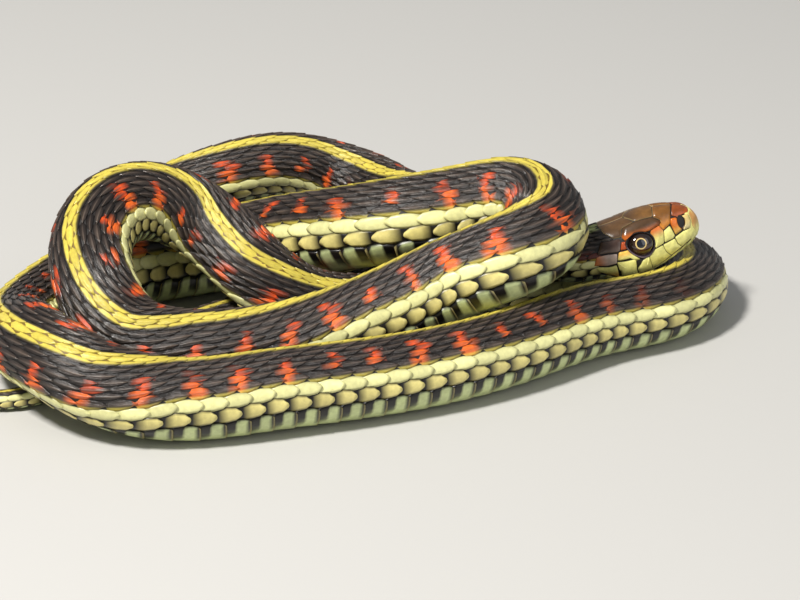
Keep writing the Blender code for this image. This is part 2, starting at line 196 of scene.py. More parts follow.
route = np.array(ROUTE, dtype=float)
neck_joint = route[0, :3]
strides = np.linalg.norm(np.diff(route[:, :3], axis=0), axis=1)
route_knots = np.concatenate([[0.0], np.cumsum(strides**KNOT_POWER)])
walk = np.linspace(0.0, route_knots[-1], WALK_SAMPLES)
walked = natural_cubic(route_knots, route[:, :3], walk)
walk_length = np.concatenate([[0.0], np.cumsum(np.linalg.norm(np.diff(walked, axis=0), axis=1))])
BODY_LENGTH = float(walk_length[-1])
WHOLE_LENGTH = BODY_LENGTH + HEAD_LENGTH
spine_at = np.arange(0.0, BODY_LENGTH, SPINE_STEP)
spine = np.stack([np.interp(spine_at, walk_length, walked[:, i]) for i in range(3)], axis=1)
spine_run = unit(np.gradient(spine, axis=0))
ease = np.clip(spine_at / NECK_EASE, 0.0, 1.0)[:, None]
ease = ease * ease * (3.0 - 2.0 * ease)
spine_run = unit(spine_run * ease - head_forward * (1.0 - ease))
spine_half = np.interp(1000.0 * spine_at / BODY_LENGTH, *zip(*GIRTH))
upright = unit(np.array([0.0, 0.0, 1.0]) - spine_run * spine_run[:, 2:])
lean = np.radians(np.interp(np.interp(spine_at, walk_length, walk), route_knots, route[:, 3]))[:, None]
spine_back = upright * np.cos(lean) + np.cross(spine_run, upright) * np.sin(lean)
spine_across = np.cross(spine_run, spine_back)
spine_turn = np.gradient(spine_run, spine_at, axis=0)
window = np.ones(TURN_WINDOW) / TURN_WINDOW
spine_turn = np.stack([np.convolve(spine_turn[:, i], window, "same") for i in range(3)], axis=1)


def read_spine(distance, values):
    return np.stack([np.interp(distance, spine_at, values[:, i]) for i in range(3)], axis=-1)


def body_point(distance, angle, depth):
    """Points on the body at distances behind the neck joint, in the solids' own millimetres."""
    half = np.interp(distance, spine_at, spine_half)[..., None] - depth
    side = np.sin(angle)
    rise = np.cos(angle)
    low = rise < 0.0
    side = np.where(low, np.sign(side) * np.abs(side) ** BELLY_SQUARE, side)
    rise = np.where(low, -np.abs(rise) ** BELLY_SQUARE, rise)
    across = read_spine(distance, spine_across)
    back = read_spine(distance, spine_back)
    offset = (across * side[..., None] + back * rise[..., None]) * half
    turn = read_spine(distance, spine_turn)
    curve = np.linalg.norm(turn, axis=-1, keepdims=True) + TINY
    inward = turn / curve
    reach = np.sum(offset * inward, axis=-1, keepdims=True)
    over = np.maximum(reach - (BEND_PINCH / curve - depth), 0.0)
    point = read_spine(distance, spine) + offset - inward * over
    point[..., 2] = np.maximum(point[..., 2], depth)
    return point


def head_measures(along):
    """Half width, top, bottom and widest level of the head, rounded off towards the snout."""
    stations = np.array(HEAD_SECTIONS, dtype=float)
    half, top, bottom, level = natural_cubic(stations[:, 0], stations[:, 1:], along).T
    closing = np.clip((along - (HEAD_LENGTH - SNOUT_ROUND)) / SNOUT_ROUND, 0.0, 1.0)
    closing = (1.0 - closing**SNOUT_POWER) ** (1.0 / SNOUT_POWER)
    return half * closing, level + (top - level) * closing, level + (bottom - level) * closing, level


def head_point(along, left, up):
    """A place given along, to the left of and above the head's own axis."""
    place = np.asarray(along)[..., None] * head_forward
    return neck_joint + place + np.asarray(left)[..., None] * head_left + np.asarray(up)[..., None] * head_up


def head_surface(along, angle, depth, sockets=True):
    """Points on the head at an angle from the middle of the crown; the eyes lie in shallow sockets."""
    half, top, bottom, level = head_measures(along)
    side = np.sin(angle)
    rise = np.cos(angle)
    power = np.where(rise > 0.0, CROWN_SQUARE, THROAT_SQUARE)
    power = 1.0 + (power - 1.0) * np.clip(along / HEAD_SQUARE_FROM, 0.0, 1.0)
    side = np.sign(side) * np.abs(side) ** power
    rise = np.sign(rise) * np.abs(rise) ** power
    left = side * np.maximum(half - depth, LEAST_HALF)
    high = np.maximum(top - level - depth, LEAST_HALF)
    low = np.maximum(level - bottom - depth, LEAST_HALF)
    up = level + rise * np.where(rise > 0.0, high, low)
    if sockets:
        from_eye = ((along - EYE_CENTRE[0]) / EYE_RADII[0]) ** 2
        from_eye = from_eye + ((up - EYE_CENTRE[2]) / EYE_RADII[2]) ** 2
        hollow = SOCKET_DEPTH * np.clip(SOCKET_REACH - from_eye, 0.0, 1.0)
        left = left - np.sign(left) * np.where(np.abs(left) > EYE_CENTRE[1] / 2.0, hollow, 0.0)
    return head_point(along, left, up)


def to_metres(points):
    return (points - CENTRE) * MM


def around(count):
    return 2.0 * math.pi * np.arange(count) / count


skin_turn = around(SKIN_SIDES) - math.pi


def skin_rings():
    """Rings of points from the snout to the tail tip, and each ring's distance from the snout."""
    rings = []
    places = []
    head_at = list(HEAD_LENGTH - SNOUT_INSET - SNOUT_TIP * np.linspace(0.0, 1.0, SNOUT_RINGS) ** 2)
    head_at += list(np.arange(head_at[-1] - HEAD_STEP, LAST_HEAD_RING, -HEAD_STEP))
    for along in head_at:
        rings.append(head_surface(np.full(SKIN_SIDES, along), skin_turn, COAT_DEPTH))
        places.append(HEAD_LENGTH - along)
    for distance in np.arange(0.0, BODY_LENGTH - TAIL_INSET, SKIN_STEP):
        depth = min(COAT_DEPTH, THIN_DEPTH * float(np.interp(distance, spine_at, spine_half)))
        rings.append(body_point(np.full(SKIN_SIDES, distance), skin_turn, depth))
        places.append(HEAD_LENGTH + distance)
    return np.array(rings), np.array(places)


def ring_quads(levels, count):
    """Faces between closed rings that follow one another."""
    faces = []
    for level in range(levels - 1):
        here = level * count
        there = here + count
        for i in range(count):
            j = (i + 1) % count
            faces.append((here + i, here + j, there + j, there + i))
    return faces


def make_mesh(name, points, faces):
    data = bpy.data.meshes.new(name)
    data.from_pydata([tuple(p) for p in points], [], faces)
    data.validate()
    data.polygons.foreach_set("use_smooth", [True] * len(data.polygons))
    made = bpy.data.objects.new(name, data)
    bpy.context.scene.collection.objects.link(made)
    return made


rings, ring_places = skin_rings()
ring_count = len(rings)
skin_points = np.concatenate([
    to_metres(rings).reshape(-1, 3),
    [to_metres(rings[0].mean(axis=0)), to_metres(rings[-1].mean(axis=0))],
])
skin_faces = ring_quads(ring_count, SKIN_SIDES)
skin_uvs = []
for here, there in zip(ring_places / WHOLE_LENGTH, ring_places[1:] / WHOLE_LENGTH):
    for j in range(SKIN_SIDES):
        near = 1.0 - j / SKIN_SIDES
        far = 1.0 - (j + 1) / SKIN_SIDES
        skin_uvs += [(here, near), (here, far), (there, far), (there, near)]
quads = len(skin_uvs)
first_cap = ring_count * SKIN_SIDES
last_ring = first_cap - SKIN_SIDES
for j in range(SKIN_SIDES):
    skin_faces.append(((j + 1) % SKIN_SIDES, j, first_cap))
    skin_uvs += [(0.0, 0.0)] * 3
for j in range(SKIN_SIDES):
    skin_faces.append((last_ring + j, last_ring + (j + 1) % SKIN_SIDES, first_cap + 1))
    skin_uvs += [(1.0, 0.0)] * 3
skin = make_mesh("skin", skin_points, skin_faces)
back_map = skin.data.uv_layers.new(name="OFBake")
back_map.data.foreach_set("uv", np.array(skin_uvs, dtype=np.float32).ravel())
# A second map has its seam on the back, so that belly plates can cross the seam of the first.
belly_map = skin.data.uv_layers.new(name="belly_map")
shifted = np.array(skin_uvs, dtype=np.float32)
upper = shifted[:quads].reshape(-1, 4, 2)
middle = upper[:, :, 1].mean(axis=1, keepdims=True)
upper[:, :, 1] += np.where(middle > 0.5, -0.5, 0.5)
belly_map.data.foreach_set("uv", shifted.ravel())


def feed(tree, node, inputs):
    """Gives each input of a node its value, or the output that it is read from."""
    for key, value in inputs.items():
        if isinstance(value, bpy.types.NodeSocket):
            tree.links.new(value, node.inputs[key])
        else:
            node.inputs[key].default_value = value


def add_node(tree, kind, inputs=None, **settings):
    node = tree.nodes.new(kind)
    for label, value in settings.items():
        setattr(node, label, value)
    feed(tree, node, inputs or {})
    return node


def vector_math(tree, operation, first, second):
    second_input = "Scale" if operation == "SCALE" else 1
    node = add_node(tree, "ShaderNodeVectorMath", {0: first, second_input: second}, operation=operation)
    return node.outputs[0]


def node_material(name):
    made = bpy.data.materials.new(name)
    made.use_nodes = True
    return made, made.node_tree, made.node_tree.nodes["Principled BSDF"]


def tinted_finish(name, roughness, grain, relief, cloud=None, stretch=None):
    """A finish that shows the mesh's own tint, roughened by a fine pattern.

    grain is the pattern's scale and detail, and relief the strength and distance of its bump. cloud is the
    scale and detail of a mottle, the range that is read from it and the brightness at each end. stretch lays
    the grain along the body.
    """
    made, tree, shader = node_material(name)
    place = add_node(tree, "ShaderNodeTexCoord").outputs["Object"]
    colour = add_node(tree, "ShaderNodeAttribute", attribute_name="tint").outputs["Color"]
    if cloud:
        scale, detail, least, most, darkest, lightest = cloud
        mottle = add_node(tree, "ShaderNodeTexNoise", {"Vector": place, "Scale": scale, "Detail": detail})
        span = add_node(tree, "ShaderNodeMapRange", {
            "Value": mottle.outputs["Fac"], "From Min": least, "From Max": most,
            "To Min": darkest, "To Max": lightest,
        })
        colour = vector_math(tree, "SCALE", colour, span.outputs["Result"])
    if stretch:
        flat = add_node(tree, "ShaderNodeAttribute", attribute_name="flat_place").outputs["Vector"]
        place = vector_math(tree, "MULTIPLY", flat, stretch)
    pattern = add_node(tree, "ShaderNodeTexNoise", {"Vector": place, "Scale": grain[0], "Detail": grain[1]})
    bump = add_node(tree, "ShaderNodeBump", {
        "Height": pattern.outputs["Fac"], "Strength": relief[0], "Distance": relief[1],
    })
    feed(tree, shader, {"Base Color": colour, "Normal": bump.outputs["Normal"], "Roughness": roughness})
    return made


def linear(colour):
    """A colour given as it looks on screen, as light."""
    colour = np.asarray(colour, dtype=float)
    return np.where(colour <= 0.04045, colour / 12.92, ((colour + 0.055) / 1.055) ** 2.4)


SKIN_DARK = linear((0.085, 0.07, 0.065))
SKIN_PALE = linear((0.50, 0.50, 0.32))
SKIN_YELLOW = linear((0.42, 0.33, 0.10))
BELLY_EDGE = math.radians(119.0)
# Share of pale skin at degrees from the middle of the back: under the stripes, and at the edge of the belly.
PALE_BANDS = (
    (9.0, 1.0), (11.0, 0.0), (80.0, 0.0), (83.0, 0.8), (96.0, 0.8), (98.0, 0.0), (128.0, 0.0), (134.0, 0.5),
)
THROAT_FROM = 134.0
THROAT_BLEND = 6.0
YELLOW_WITHIN = 20.0
WRINKLES = (2200.0, 3.0)
WRINKLE_RELIEF = (0.4, 0.0001)


def set_tint(mesh, colours):
    layer = mesh.color_attributes.new(name="tint", type="FLOAT_COLOR", domain="POINT")
    full = np.ones((len(colours), 4), dtype=np.float32)
    full[:, :3] = colours
    layer.data.foreach_set("color", full.ravel())


from_back = np.degrees(np.abs(skin_turn))
throat_share = np.clip((from_back - THROAT_FROM) / THROAT_BLEND, 0.0, 1.0)
stripe_share = np.interp(from_back, *zip(*PALE_BANDS))
on_head = ring_places[:, None] < HEAD_LENGTH
pale = np.where(on_head, throat_share, stripe_share)[..., None]
under = np.where((from_back < YELLOW_WITHIN)[:, None], SKIN_YELLOW, SKIN_PALE)
ring_tint = (SKIN_DARK * (1.0 - pale) + under * pale).reshape(-1, 3)
set_tint(skin.data, np.concatenate([ring_tint, np.tile(SKIN_DARK, (2, 1))]))
skin.data.materials.append(tinted_finish("bare_skin", 0.55, WRINKLES, WRINKLE_RELIEF))
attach(skin, "root")
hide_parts(*[node for node in sorted(frame["nodes"]) if not node.startswith("eye_")])

# Scales of the back and flanks
# Nineteen rows of narrow horny scales, each a lance-shaped flake with a keel down its middle. Every scale is
# rooted in the skin in front and laps over the next one behind, and each row is set half a scale off the next.
ROW_WIDTHS = (2.1, 1.72, 1.6, 1.0, 1.0, 1.0, 1.0, 1.0, 1.0)
MIDDLE_ROW_WIDTH = 1.1
PITCH_BASE = 1.9
PITCH_OF_GIRTH = 0.345
NAPE_PITCH = 0.58  # share of the full pitch just behind the head shields
NAPE_FROM = -9.0
NAPE_TO = 16.0
NAPE_START = -8.2
LAST_RING = 2.0
MOST_ROWS = 9
LAP = 1.36
TAIL_END = 0.8
KEEL_HALF = 0.3
KEEL_START = 0.25
TIP_CURVE = 0.05
TIP_FROM = 0.5
FLAKE_DEPTH = 0.5
# The underside of a flake is drawn in a little from its border.
UNDER_LONG = 0.97
UNDER_SHIFT = 0.01
UNDER_WIDE = 0.93
LOWEST = 0.00002
PATCH = 0.003  # size of a whole flake's patch in the map that textures are baked to
SCALE_BROAD = 1.16
FULL_SIZE_AT = 5.0  # half width of the body from which the scales have their full thickness
# Share of the body from which the tail has fewer rows on each side.
TAIL_ROWS = ((0.765, 8), (0.80, 6), (0.845, 5), (0.89, 4), (0.93, 3), (0.97, 2))
# Rear edge of the head shields: degrees from the middle of the crown, distance in front of the neck joint.
SHIELD_EDGE = [
    (0.0, 3.0), (24.0, 3.4), (41.0, 4.6), (43.0, 2.4), (68.0, 1.0), (72.0, 0.8), (100.0, -0.1), (104.0, 0.3),
    (118.0, 1.2), (136.0, 2.4), (140.0, 3.6), (152.0, 10.0), (180.0, 10.0),
]


def half_width(distance):
    return np.interp(distance, spine_at, spine_half)


def rows_each_side(distance):
    share = distance / BODY_LENGTH
    count = MOST_ROWS
    for start, fewer in TAIL_ROWS:
        if share >= start:
            count = fewer
    return count


def pitch_at(distance):
    """Length of body that one belly plate takes."""
    nape = np.clip((distance - NAPE_FROM) / (NAPE_TO - NAPE_FROM), 0.0, 1.0)
    full = PITCH_BASE + PITCH_OF_GIRTH * float(half_width(distance))
    return full * (NAPE_PITCH + (1.0 - NAPE_PITCH) * float(nape))


def ring_starts():
    starts = []
    distance = NAPE_START
    while distance < BODY_LENGTH - LAST_RING:
        starts.append(distance)
        distance += pitch_at(distance)
    return starts


def under_shields(distance, angle):
    return -distance > float(np.interp(abs(math.degrees(angle)), *zip(*SHIELD_EDGE)))


def row_angles(count):
    """Middle and width of each row on one side, from the belly plates up, then the middle row of the back."""
    widths = np.array(ROW_WIDTHS[:count])
    share = BELLY_EDGE / (widths.sum() + MIDDLE_ROW_WIDTH / 2.0)
    edges = BELLY_EDGE - np.concatenate([[0.0], np.cumsum(widths)]) * share
    middles = (edges[:-1] + edges[1:]) / 2.0
    return middles, widths * share, MIDDLE_ROW_WIDTH * share


def scale_shape(name, outline, root_rise, tip_rise, crown, keel, spread):
    """One flake lying along x from root to tip, one long and one wide, its height in millimetres."""
    points = []
    marks = []
    for v, width in outline:
        for u in spread:
            ridge = max(0.0, 1.0 - abs(u) / KEEL_HALF)
            rise = root_rise + (tip_rise - root_rise) * v
            rise += crown * (1.0 - u * u) + keel * ridge * min(1.0, v / KEEL_START)
            points.append((v - TIP_CURVE * u * u * (v > TIP_FROM), u * width, rise))
            marks.append((abs(u) ** 3, v, ridge))
    wide = len(spread)
    last = (len(outline) - 1) * wide
    faces = []
    for start in range(0, last, wide):
        for here in range(start, start + wide - 1):
            faces.append((here, here + wide, here + wide + 1, here + 1))
    border = list(range(wide))
    border += list(range(2 * wide - 1, last + wide, wide))
    border += list(range(last + wide - 2, last - 1, -1))
    border += list(range(last - wide, 0, -wide))
    below = len(points)
    for index in border:
        x, y, z = points[index]
        points.append((x * UNDER_LONG + UNDER_SHIFT, y * UNDER_WIDE, z - FLAKE_DEPTH))
        marks.append((1.0, marks[index][1], 0.0))
    count = len(border)
    for n in range(count):
        m = (n + 1) % count
        faces.append((border[n], border[m], below + m, below + n))
    faces.append(tuple(range(below + count - 1, below - 1, -1)))
    made = make_mesh(name, points, faces)
    check = bmesh.new()
    check.from_mesh(made.data)
    bmesh.ops.recalc_face_normals(check, faces=check.faces)
    check.to_mesh(made.data)
    check.free()
    for label, values in zip(("rim", "reach", "ridge"), np.array(marks).T):
        keep_marks(made.data, label, values)
    made.hide_render = True
    return made


def keep_marks(mesh, label, values, kind="FLOAT"):
    layer = mesh.attributes.new(label, kind, "POINT")
    layer.data.foreach_set("value" if kind == "FLOAT" else "vector", np.array(values, dtype=np.float32).ravel())


def lay_scales_tree():
    """Sets a copy of one flake on every root, flat in the skin's own map, then wraps them onto the skin."""
    tree = bpy.data.node_groups.new("lay_scales", "GeometryNodeTree")
    for label, kind in (
        ("Geometry", "Geometry"), ("Flake", "Object"), ("Skin", "Object"), ("Map", "String"),
        ("Lowest", "Float"), ("Patch", "Float"), ("Finish", "Material"),
    ):
        tree.interface.new_socket(label, in_out="INPUT", socket_type="NodeSocket" + kind)
    tree.interface.new_socket("Geometry", in_out="OUTPUT", socket_type="NodeSocketGeometry")
    given = add_node(tree, "NodeGroupInput").outputs

    def named(label):
        kind = "GeometryNodeInputNamedAttribute"
        return add_node(tree, kind, {"Name": label}, data_type="FLOAT_VECTOR").outputs["Attribute"]

    def object_shape(source):
        return add_node(tree, "GeometryNodeObjectInfo", {"Object": source}).outputs["Geometry"]

    def stored(geometry, label, value, kind, domain="POINT"):
        inputs = {"Geometry": geometry, "Name": label, "Value": value}
        node = add_node(tree, "GeometryNodeStoreNamedAttribute", inputs, data_type=kind, domain=domain)
        return node.outputs["Geometry"]

    def apart(value):
        return add_node(tree, "ShaderNodeSeparateXYZ", {0: value}).outputs

    def joined(x, y, z=0.0):
        return add_node(tree, "ShaderNodeCombineXYZ", {"X": x, "Y": y, "Z": z}).outputs[0]

    size = named("size")
    root = named("root_place")
    flat = add_node(tree, "GeometryNodeInputPosition").outputs["Position"]
    setting = add_node(tree, "GeometryNodeInstanceOnPoints", {
        "Points": given["Geometry"], "Instance": object_shape(given["Flake"]), "Scale": size,
    })
    real = add_node(tree, "GeometryNodeRealizeInstances", {"Geometry": setting.outputs["Instances"]})
    shape = stored(real.outputs["Geometry"], "flat_place", flat, "FLOAT_VECTOR")

    own = vector_math(tree, "DIVIDE", vector_math(tree, "SUBTRACT", flat, root), size)
    patch = vector_math(tree, "ADD", root, vector_math(tree, "SCALE", own, given["Patch"]))
    shape = stored(shape, "OFBake", patch, "FLOAT2", "CORNER")

    level = apart(flat)
    skin_map = named(given["Map"])
    cover = object_shape(given["Skin"])
    found = []
    for value in (
        add_node(tree, "GeometryNodeInputPosition").outputs["Position"],
        add_node(tree, "GeometryNodeInputNormal").outputs["Normal"],
    ):
        sample = add_node(tree, "GeometryNodeSampleUVSurface", {
            "Mesh": cover, "Value": value, "UV Map": skin_map,
            "Sample UV": joined(level["X"], level["Y"]),
        }, data_type="FLOAT_VECTOR")
        found.append(sample.outputs["Value"])
    place = apart(vector_math(tree, "ADD", found[0], vector_math(tree, "SCALE", found[1], level["Z"])))
    floor_stop = add_node(tree, "ShaderNodeMath", {0: place["Z"], 1: given["Lowest"]}, operation="MAXIMUM")
    shape = stored(shape, "on_skin", sample.outputs["Is Valid"], "BOOLEAN")
    wrap = add_node(tree, "GeometryNodeSetPosition", {
        "Geometry": shape, "Position": joined(place["X"], place["Y"], floor_stop.outputs[0]),
    })
    paint = add_node(tree, "GeometryNodeSetMaterial", {
        "Geometry": wrap.outputs["Geometry"], "Material": given["Finish"],
    })
    add_node(tree, "NodeGroupOutput", {"Geometry": paint.outputs["Geometry"]})
    return tree


lay_scales = lay_scales_tree()


def wrapped_scales(name, flake, roots, skin_map, finish):
    """A plain mesh of every flake on the skin. Each root is (distance, angle, length, width, height, tier)."""
    roots = np.array(roots, dtype=float)
    along = (roots[:, 0] + HEAD_LENGTH) / WHOLE_LENGTH
    turn = 0.5 - roots[:, 1] / (2.0 * math.pi)
    points = np.stack([along, turn, np.zeros(len(roots))], axis=1)
    size = np.stack([roots[:, 2] / WHOLE_LENGTH, roots[:, 3] / (2.0 * math.pi), roots[:, 4] * MM], axis=1)
    seeds = make_mesh(name + "_roots", points, [])
    keep_marks(seeds.data, "size", size, "FLOAT_VECTOR")
    keep_marks(seeds.data, "root_place", points, "FLOAT_VECTOR")
    keep_marks(seeds.data, "tier", roots[:, 5])
    keep_marks(seeds.data, "luck", np.random.default_rng(len(roots)).random(len(roots)))
    step = seeds.modifiers.new("lay_scales", "NODES")
    step.node_group = lay_scales
    items = lay_scales.interface.items_tree
    sockets = {item.name: item.identifier for item in items if item.in_out == "INPUT"}
    given = {"Flake": flake, "Skin": skin, "Map": skin_map, "Lowest": LOWEST, "Patch": PATCH, "Finish": finish}
    for label, value in given.items():
        step[sockets[label]] = value
    graph = bpy.context.evaluated_depsgraph_get()
    mesh = bpy.data.meshes.new_from_object(seeds.evaluated_get(graph), depsgraph=graph)
    bpy.data.objects.remove(seeds, do_unlink=True)
    mesh.name = name
    made = bpy.data.objects.new(name, mesh)
    bpy.context.scene.collection.objects.link(made)
    on_skin = np.empty(len(mesh.vertices), dtype=bool)
    mesh.attributes["on_skin"].data.foreach_get("value", on_skin)
    if not on_skin.all():
        trim = bmesh.new()
        trim.from_mesh(mesh)
        trim.verts.ensure_lookup_table()
        bmesh.ops.delete(trim, geom=[trim.verts[i] for i in np.nonzero(~on_skin)[0]], context="VERTS")
        trim.to_mesh(mesh)
        trim.free()
    return made


def read_marks(mesh, label, width=1):
    kind = "value" if width == 1 else "vector"
    values = np.empty(len(mesh.vertices) * width, dtype=np.float32)
    mesh.attributes[label].data.foreach_get(kind, values)
    return values if width == 1 else values.reshape(-1, width)


SCALE_CLOUD = (900.0, 4.0, 0.0, 1.0, 0.72, 1.28)
STRIAE = (1.0, 2.0)
STRIAE_STRETCH = (400.0, 900.0, 0.0)
STRIAE_DEPTH = 0.00012


def scale_finish(name, roughness, streak):
    """Horn: the marking, a little cloudiness, fine lengthwise striae and a satin surface."""
    return tinted_finish(name, roughness, STRIAE, (streak, STRIAE_DEPTH), SCALE_CLOUD, STRIAE_STRETCH)


BACK_STRIPE = linear((0.78, 0.715, 0.30))
SIDE_STRIPE = linear((0.86, 0.85, 0.60))
LOW_ROW = linear((0.84, 0.79, 0.50))
FLANK = linear((0.125, 0.097, 0.086))
FLANK_DARK = linear((0.06, 0.045, 0.042))
FLANK_GLINT = linear((0.47, 0.41, 0.365))
RED = linear((0.82, 0.30, 0.10))
ORANGE = linear((0.88, 0.42, 0.13))
BLACK = linear((0.05, 0.042, 0.042))
NAPE_PALE = linear((0.62, 0.66, 0.44))
NAPE_RED = linear((0.34, 0.09, 0.055))
THROAT = linear((0.76, 0.80, 0.58))
STRIPE_HALF = math.radians(10.5)


def smoothstep(low, high, value):
    share = np.clip((value - low) / (high - low), 0.0, 1.0)
    return share * share * (3.0 - 2.0 * share)


def mix(first, second, share):
    return first * (1.0 - share[:, None]) + second * share[:, None]


WANDER_WEIGHTS = (12.9898, 78.233, 37.719)
WANDER_SPREAD = 43758.5453


def wander_of(*keys):
    """An even spread from 0 to 1 that looks like chance but is the same every time."""
    total = sum(key * weight for key, weight in zip(keys, WANDER_WEIGHTS))
    wave = np.sin(total) * WANDER_SPREAD
    return wave - np.floor(wave)


# Unless its own comment says otherwise, a pair is where a mark begins to show and where it shows in full.
KEEL_GLINT = 0.6
CHANCE_GLINT = 0.14
RIM_SHADE = 0.9
ROOT_SHADE = 0.7
ROOT_SHADE_AT = (0.5, 0.2)
NAPE_RED_SHARE = 0.8
NAPE_RED_ALONG = (60.0, 10.0)
NAPE_RED_ANGLE = (0.9, 1.2)
BAR_JAG = 0.26
BAR_BROAD = 0.15
BAR_FOOT = 0.09
BAR_FOOT_BELOW = 4.6
BAR_CHANCE = 0.06
BAR_SPAN = (0.8, 0.4)  # least share of the breadth, gained by chance
BAR_EDGE = (0.05, -0.04)
BAR_LOW_ROWS = (3.5, 2.6)  # lowest row of the few short bars, and of the others
BAR_LOW_CHANCE = 0.3
BAR_TOP_ROW = 5.4
BAR_TOP_SPREAD = 1.3
BAR_LOW_EDGE = 0.2
BAR_TOP_EDGE = (0.5, -0.1)
BAR_ON_SCALE = (0.9, 0.4, -0.3)  # at the middle, gained at the rim, lost on the keel
BAR_END = (0.76, 0.7)
BAR_START = (12.0, 25.0)
BAR_ORANGE = 0.7
BAR_ORANGE_ROWS = (5.0, 3.6)
SIDE_ROOT_SHADE = 0.55
SIDE_ROOT_AT = (0.22, 0.08)
SIDE_RIM_SHADE = 0.4
FRINGE_SHARE = 0.65
FRINGE_FROM = (math.radians(75.0), math.radians(79.0))
BEAD_FROM = (0.52, 0.62)
BEAD_RIM = (0.9, 0.5)
STRIPE_EDGE = (STRIPE_HALF + 0.035, STRIPE_HALF - 0.02)
STRIPE_START = (-3.6, -2.4)
NAPE_PALE_ALONG = (60.0, 15.0)
STRIPE_RIM_SHADE = 0.22
LOW_TIER = 1.0
SIDE_TIER = 2.0
FRINGE_TIER = 3.0
MIDDLE_TIER = 10.0
THROAT_TIER = 11.0
CHANCE_LIGHT = (0.9, 0.2)  # least brightness, gained by chance
PALE_LIGHT = (0.92, 0.16)


def on_tier(tier, wanted):
    return (np.abs(tier - wanted) < 0.5).astype(float)


def back_colours(mesh):
    """Yellow stripe down the back, red bars on the flanks and a pale stripe low on each side."""
    tier, rim, reach = (read_marks(mesh, label) for label in ("tier", "rim", "reach"))
    ridge, luck = (read_marks(mesh, label) for label in ("ridge", "luck"))
    place = read_marks(mesh, "flat_place", 3)
    angle = (0.5 - place[:, 1]) * 2.0 * math.pi
    turned = np.abs(angle)
    distance = place[:, 0] * WHOLE_LENGTH - HEAD_LENGTH
    side = np.sign(angle)
    plain = np.ones((len(tier), 1))
    glint = np.clip(KEEL_GLINT * ridge * reach + CHANCE_GLINT * luck, 0.0, 1.0)
    colour = mix(FLANK * plain, FLANK_GLINT, glint)
    shade = np.clip(RIM_SHADE * rim + ROOT_SHADE * smoothstep(*ROOT_SHADE_AT, reach), 0.0, 1.0)
    colour = mix(colour, FLANK_DARK, shade)
    reddish = smoothstep(*NAPE_RED_ALONG, distance) * smoothstep(*NAPE_RED_ANGLE, turned)
    colour = mix(colour, NAPE_RED, NAPE_RED_SHARE * reddish)

    bar_number = np.floor(np.interp(distance, bar_at, np.arange(len(bar_at))) + 0.5)
    bar_middle = np.interp(bar_number, np.arange(len(bar_at)), bar_at)
    pitch = np.interp(distance, spine_at, full_pitch)
    chance = wander_of(bar_number, side, np.zeros(len(tier)))
    jag = wander_of(bar_number, side, np.round(tier)) - 0.5
    off = (distance - bar_middle) / pitch + BAR_JAG * jag
    broad = BAR_BROAD + BAR_FOOT * (tier < BAR_FOOT_BELOW) + BAR_CHANCE * np.abs(jag)
    broad = broad * (BAR_SPAN[0] + BAR_SPAN[1] * chance)
    in_bar = smoothstep(broad + BAR_EDGE[0], broad + BAR_EDGE[1], np.abs(off))
    lowest = np.where(chance < BAR_LOW_CHANCE, *BAR_LOW_ROWS)
    highest = BAR_TOP_ROW + BAR_TOP_SPREAD * wander_of(bar_number, side, np.ones(len(tier)))
    in_bar *= smoothstep(lowest - BAR_LOW_EDGE, lowest + BAR_LOW_EDGE, tier)
    in_bar *= smoothstep(highest + BAR_TOP_EDGE[0], highest + BAR_TOP_EDGE[1], tier)
    in_bar *= np.clip(BAR_ON_SCALE[0] + BAR_ON_SCALE[1] * rim + BAR_ON_SCALE[2] * ridge, 0.0, 1.0)
    in_bar *= smoothstep(*BAR_END, distance / BODY_LENGTH) * smoothstep(*BAR_START, distance)
    bar_colour = mix(RED * plain, ORANGE, smoothstep(*BAR_ORANGE_ROWS, tier) * BAR_ORANGE)
    colour = mix(colour, bar_colour, in_bar)

    pale = 1.0 - SIDE_ROOT_SHADE * smoothstep(*SIDE_ROOT_AT, reach) - SIDE_RIM_SHADE * rim
    side_colour = SIDE_STRIPE * (PALE_LIGHT[0] + PALE_LIGHT[1] * luck)[:, None]
    colour = mix(colour, side_colour, np.clip(on_tier(tier, SIDE_TIER) * pale, 0.0, 1.0))
    fringe = on_tier(tier, FRINGE_TIER) * smoothstep(*FRINGE_FROM, turned)
    colour = mix(colour, BACK_STRIPE, FRINGE_SHARE * fringe)
    low = on_tier(tier, LOW_TIER)
    colour = mix(colour, BLACK, low)
    colour = mix(colour, LOW_ROW, low * smoothstep(*BEAD_FROM, reach) * smoothstep(*BEAD_RIM, rim))
    stripe = smoothstep(*STRIPE_EDGE, turned) * smoothstep(*STRIPE_START, distance)
    yellow = mix(BACK_STRIPE * plain, NAPE_PALE, smoothstep(*NAPE_PALE_ALONG, distance))
    colour = mix(colour, yellow, stripe * (1.0 - STRIPE_RIM_SHADE * rim * on_tier(tier, MIDDLE_TIER)))
    colour = mix(colour, THROAT, on_tier(tier, THROAT_TIER))
    return colour * (CHANCE_LIGHT[0] + CHANCE_LIGHT[1] * luck)[:, None]


THROAT_PITCH = 2.3
THROAT_ANGLES = (131.0, 143.0, 156.0, 171.0)
THROAT_WIDTH = math.radians(14.0)
THROAT_FRONT = -11.5
THROAT_REAR = -2.0
THROAT_LAST = -3.6
THROAT_HEIGHT = 0.8
ROWS_KEPT = 3  # the low rows that run on to the tail tip
LAP_UNDER = 0.4  # share of a scale that may lie under the shields in front of it
THROAT_LAP_UNDER = 0.3


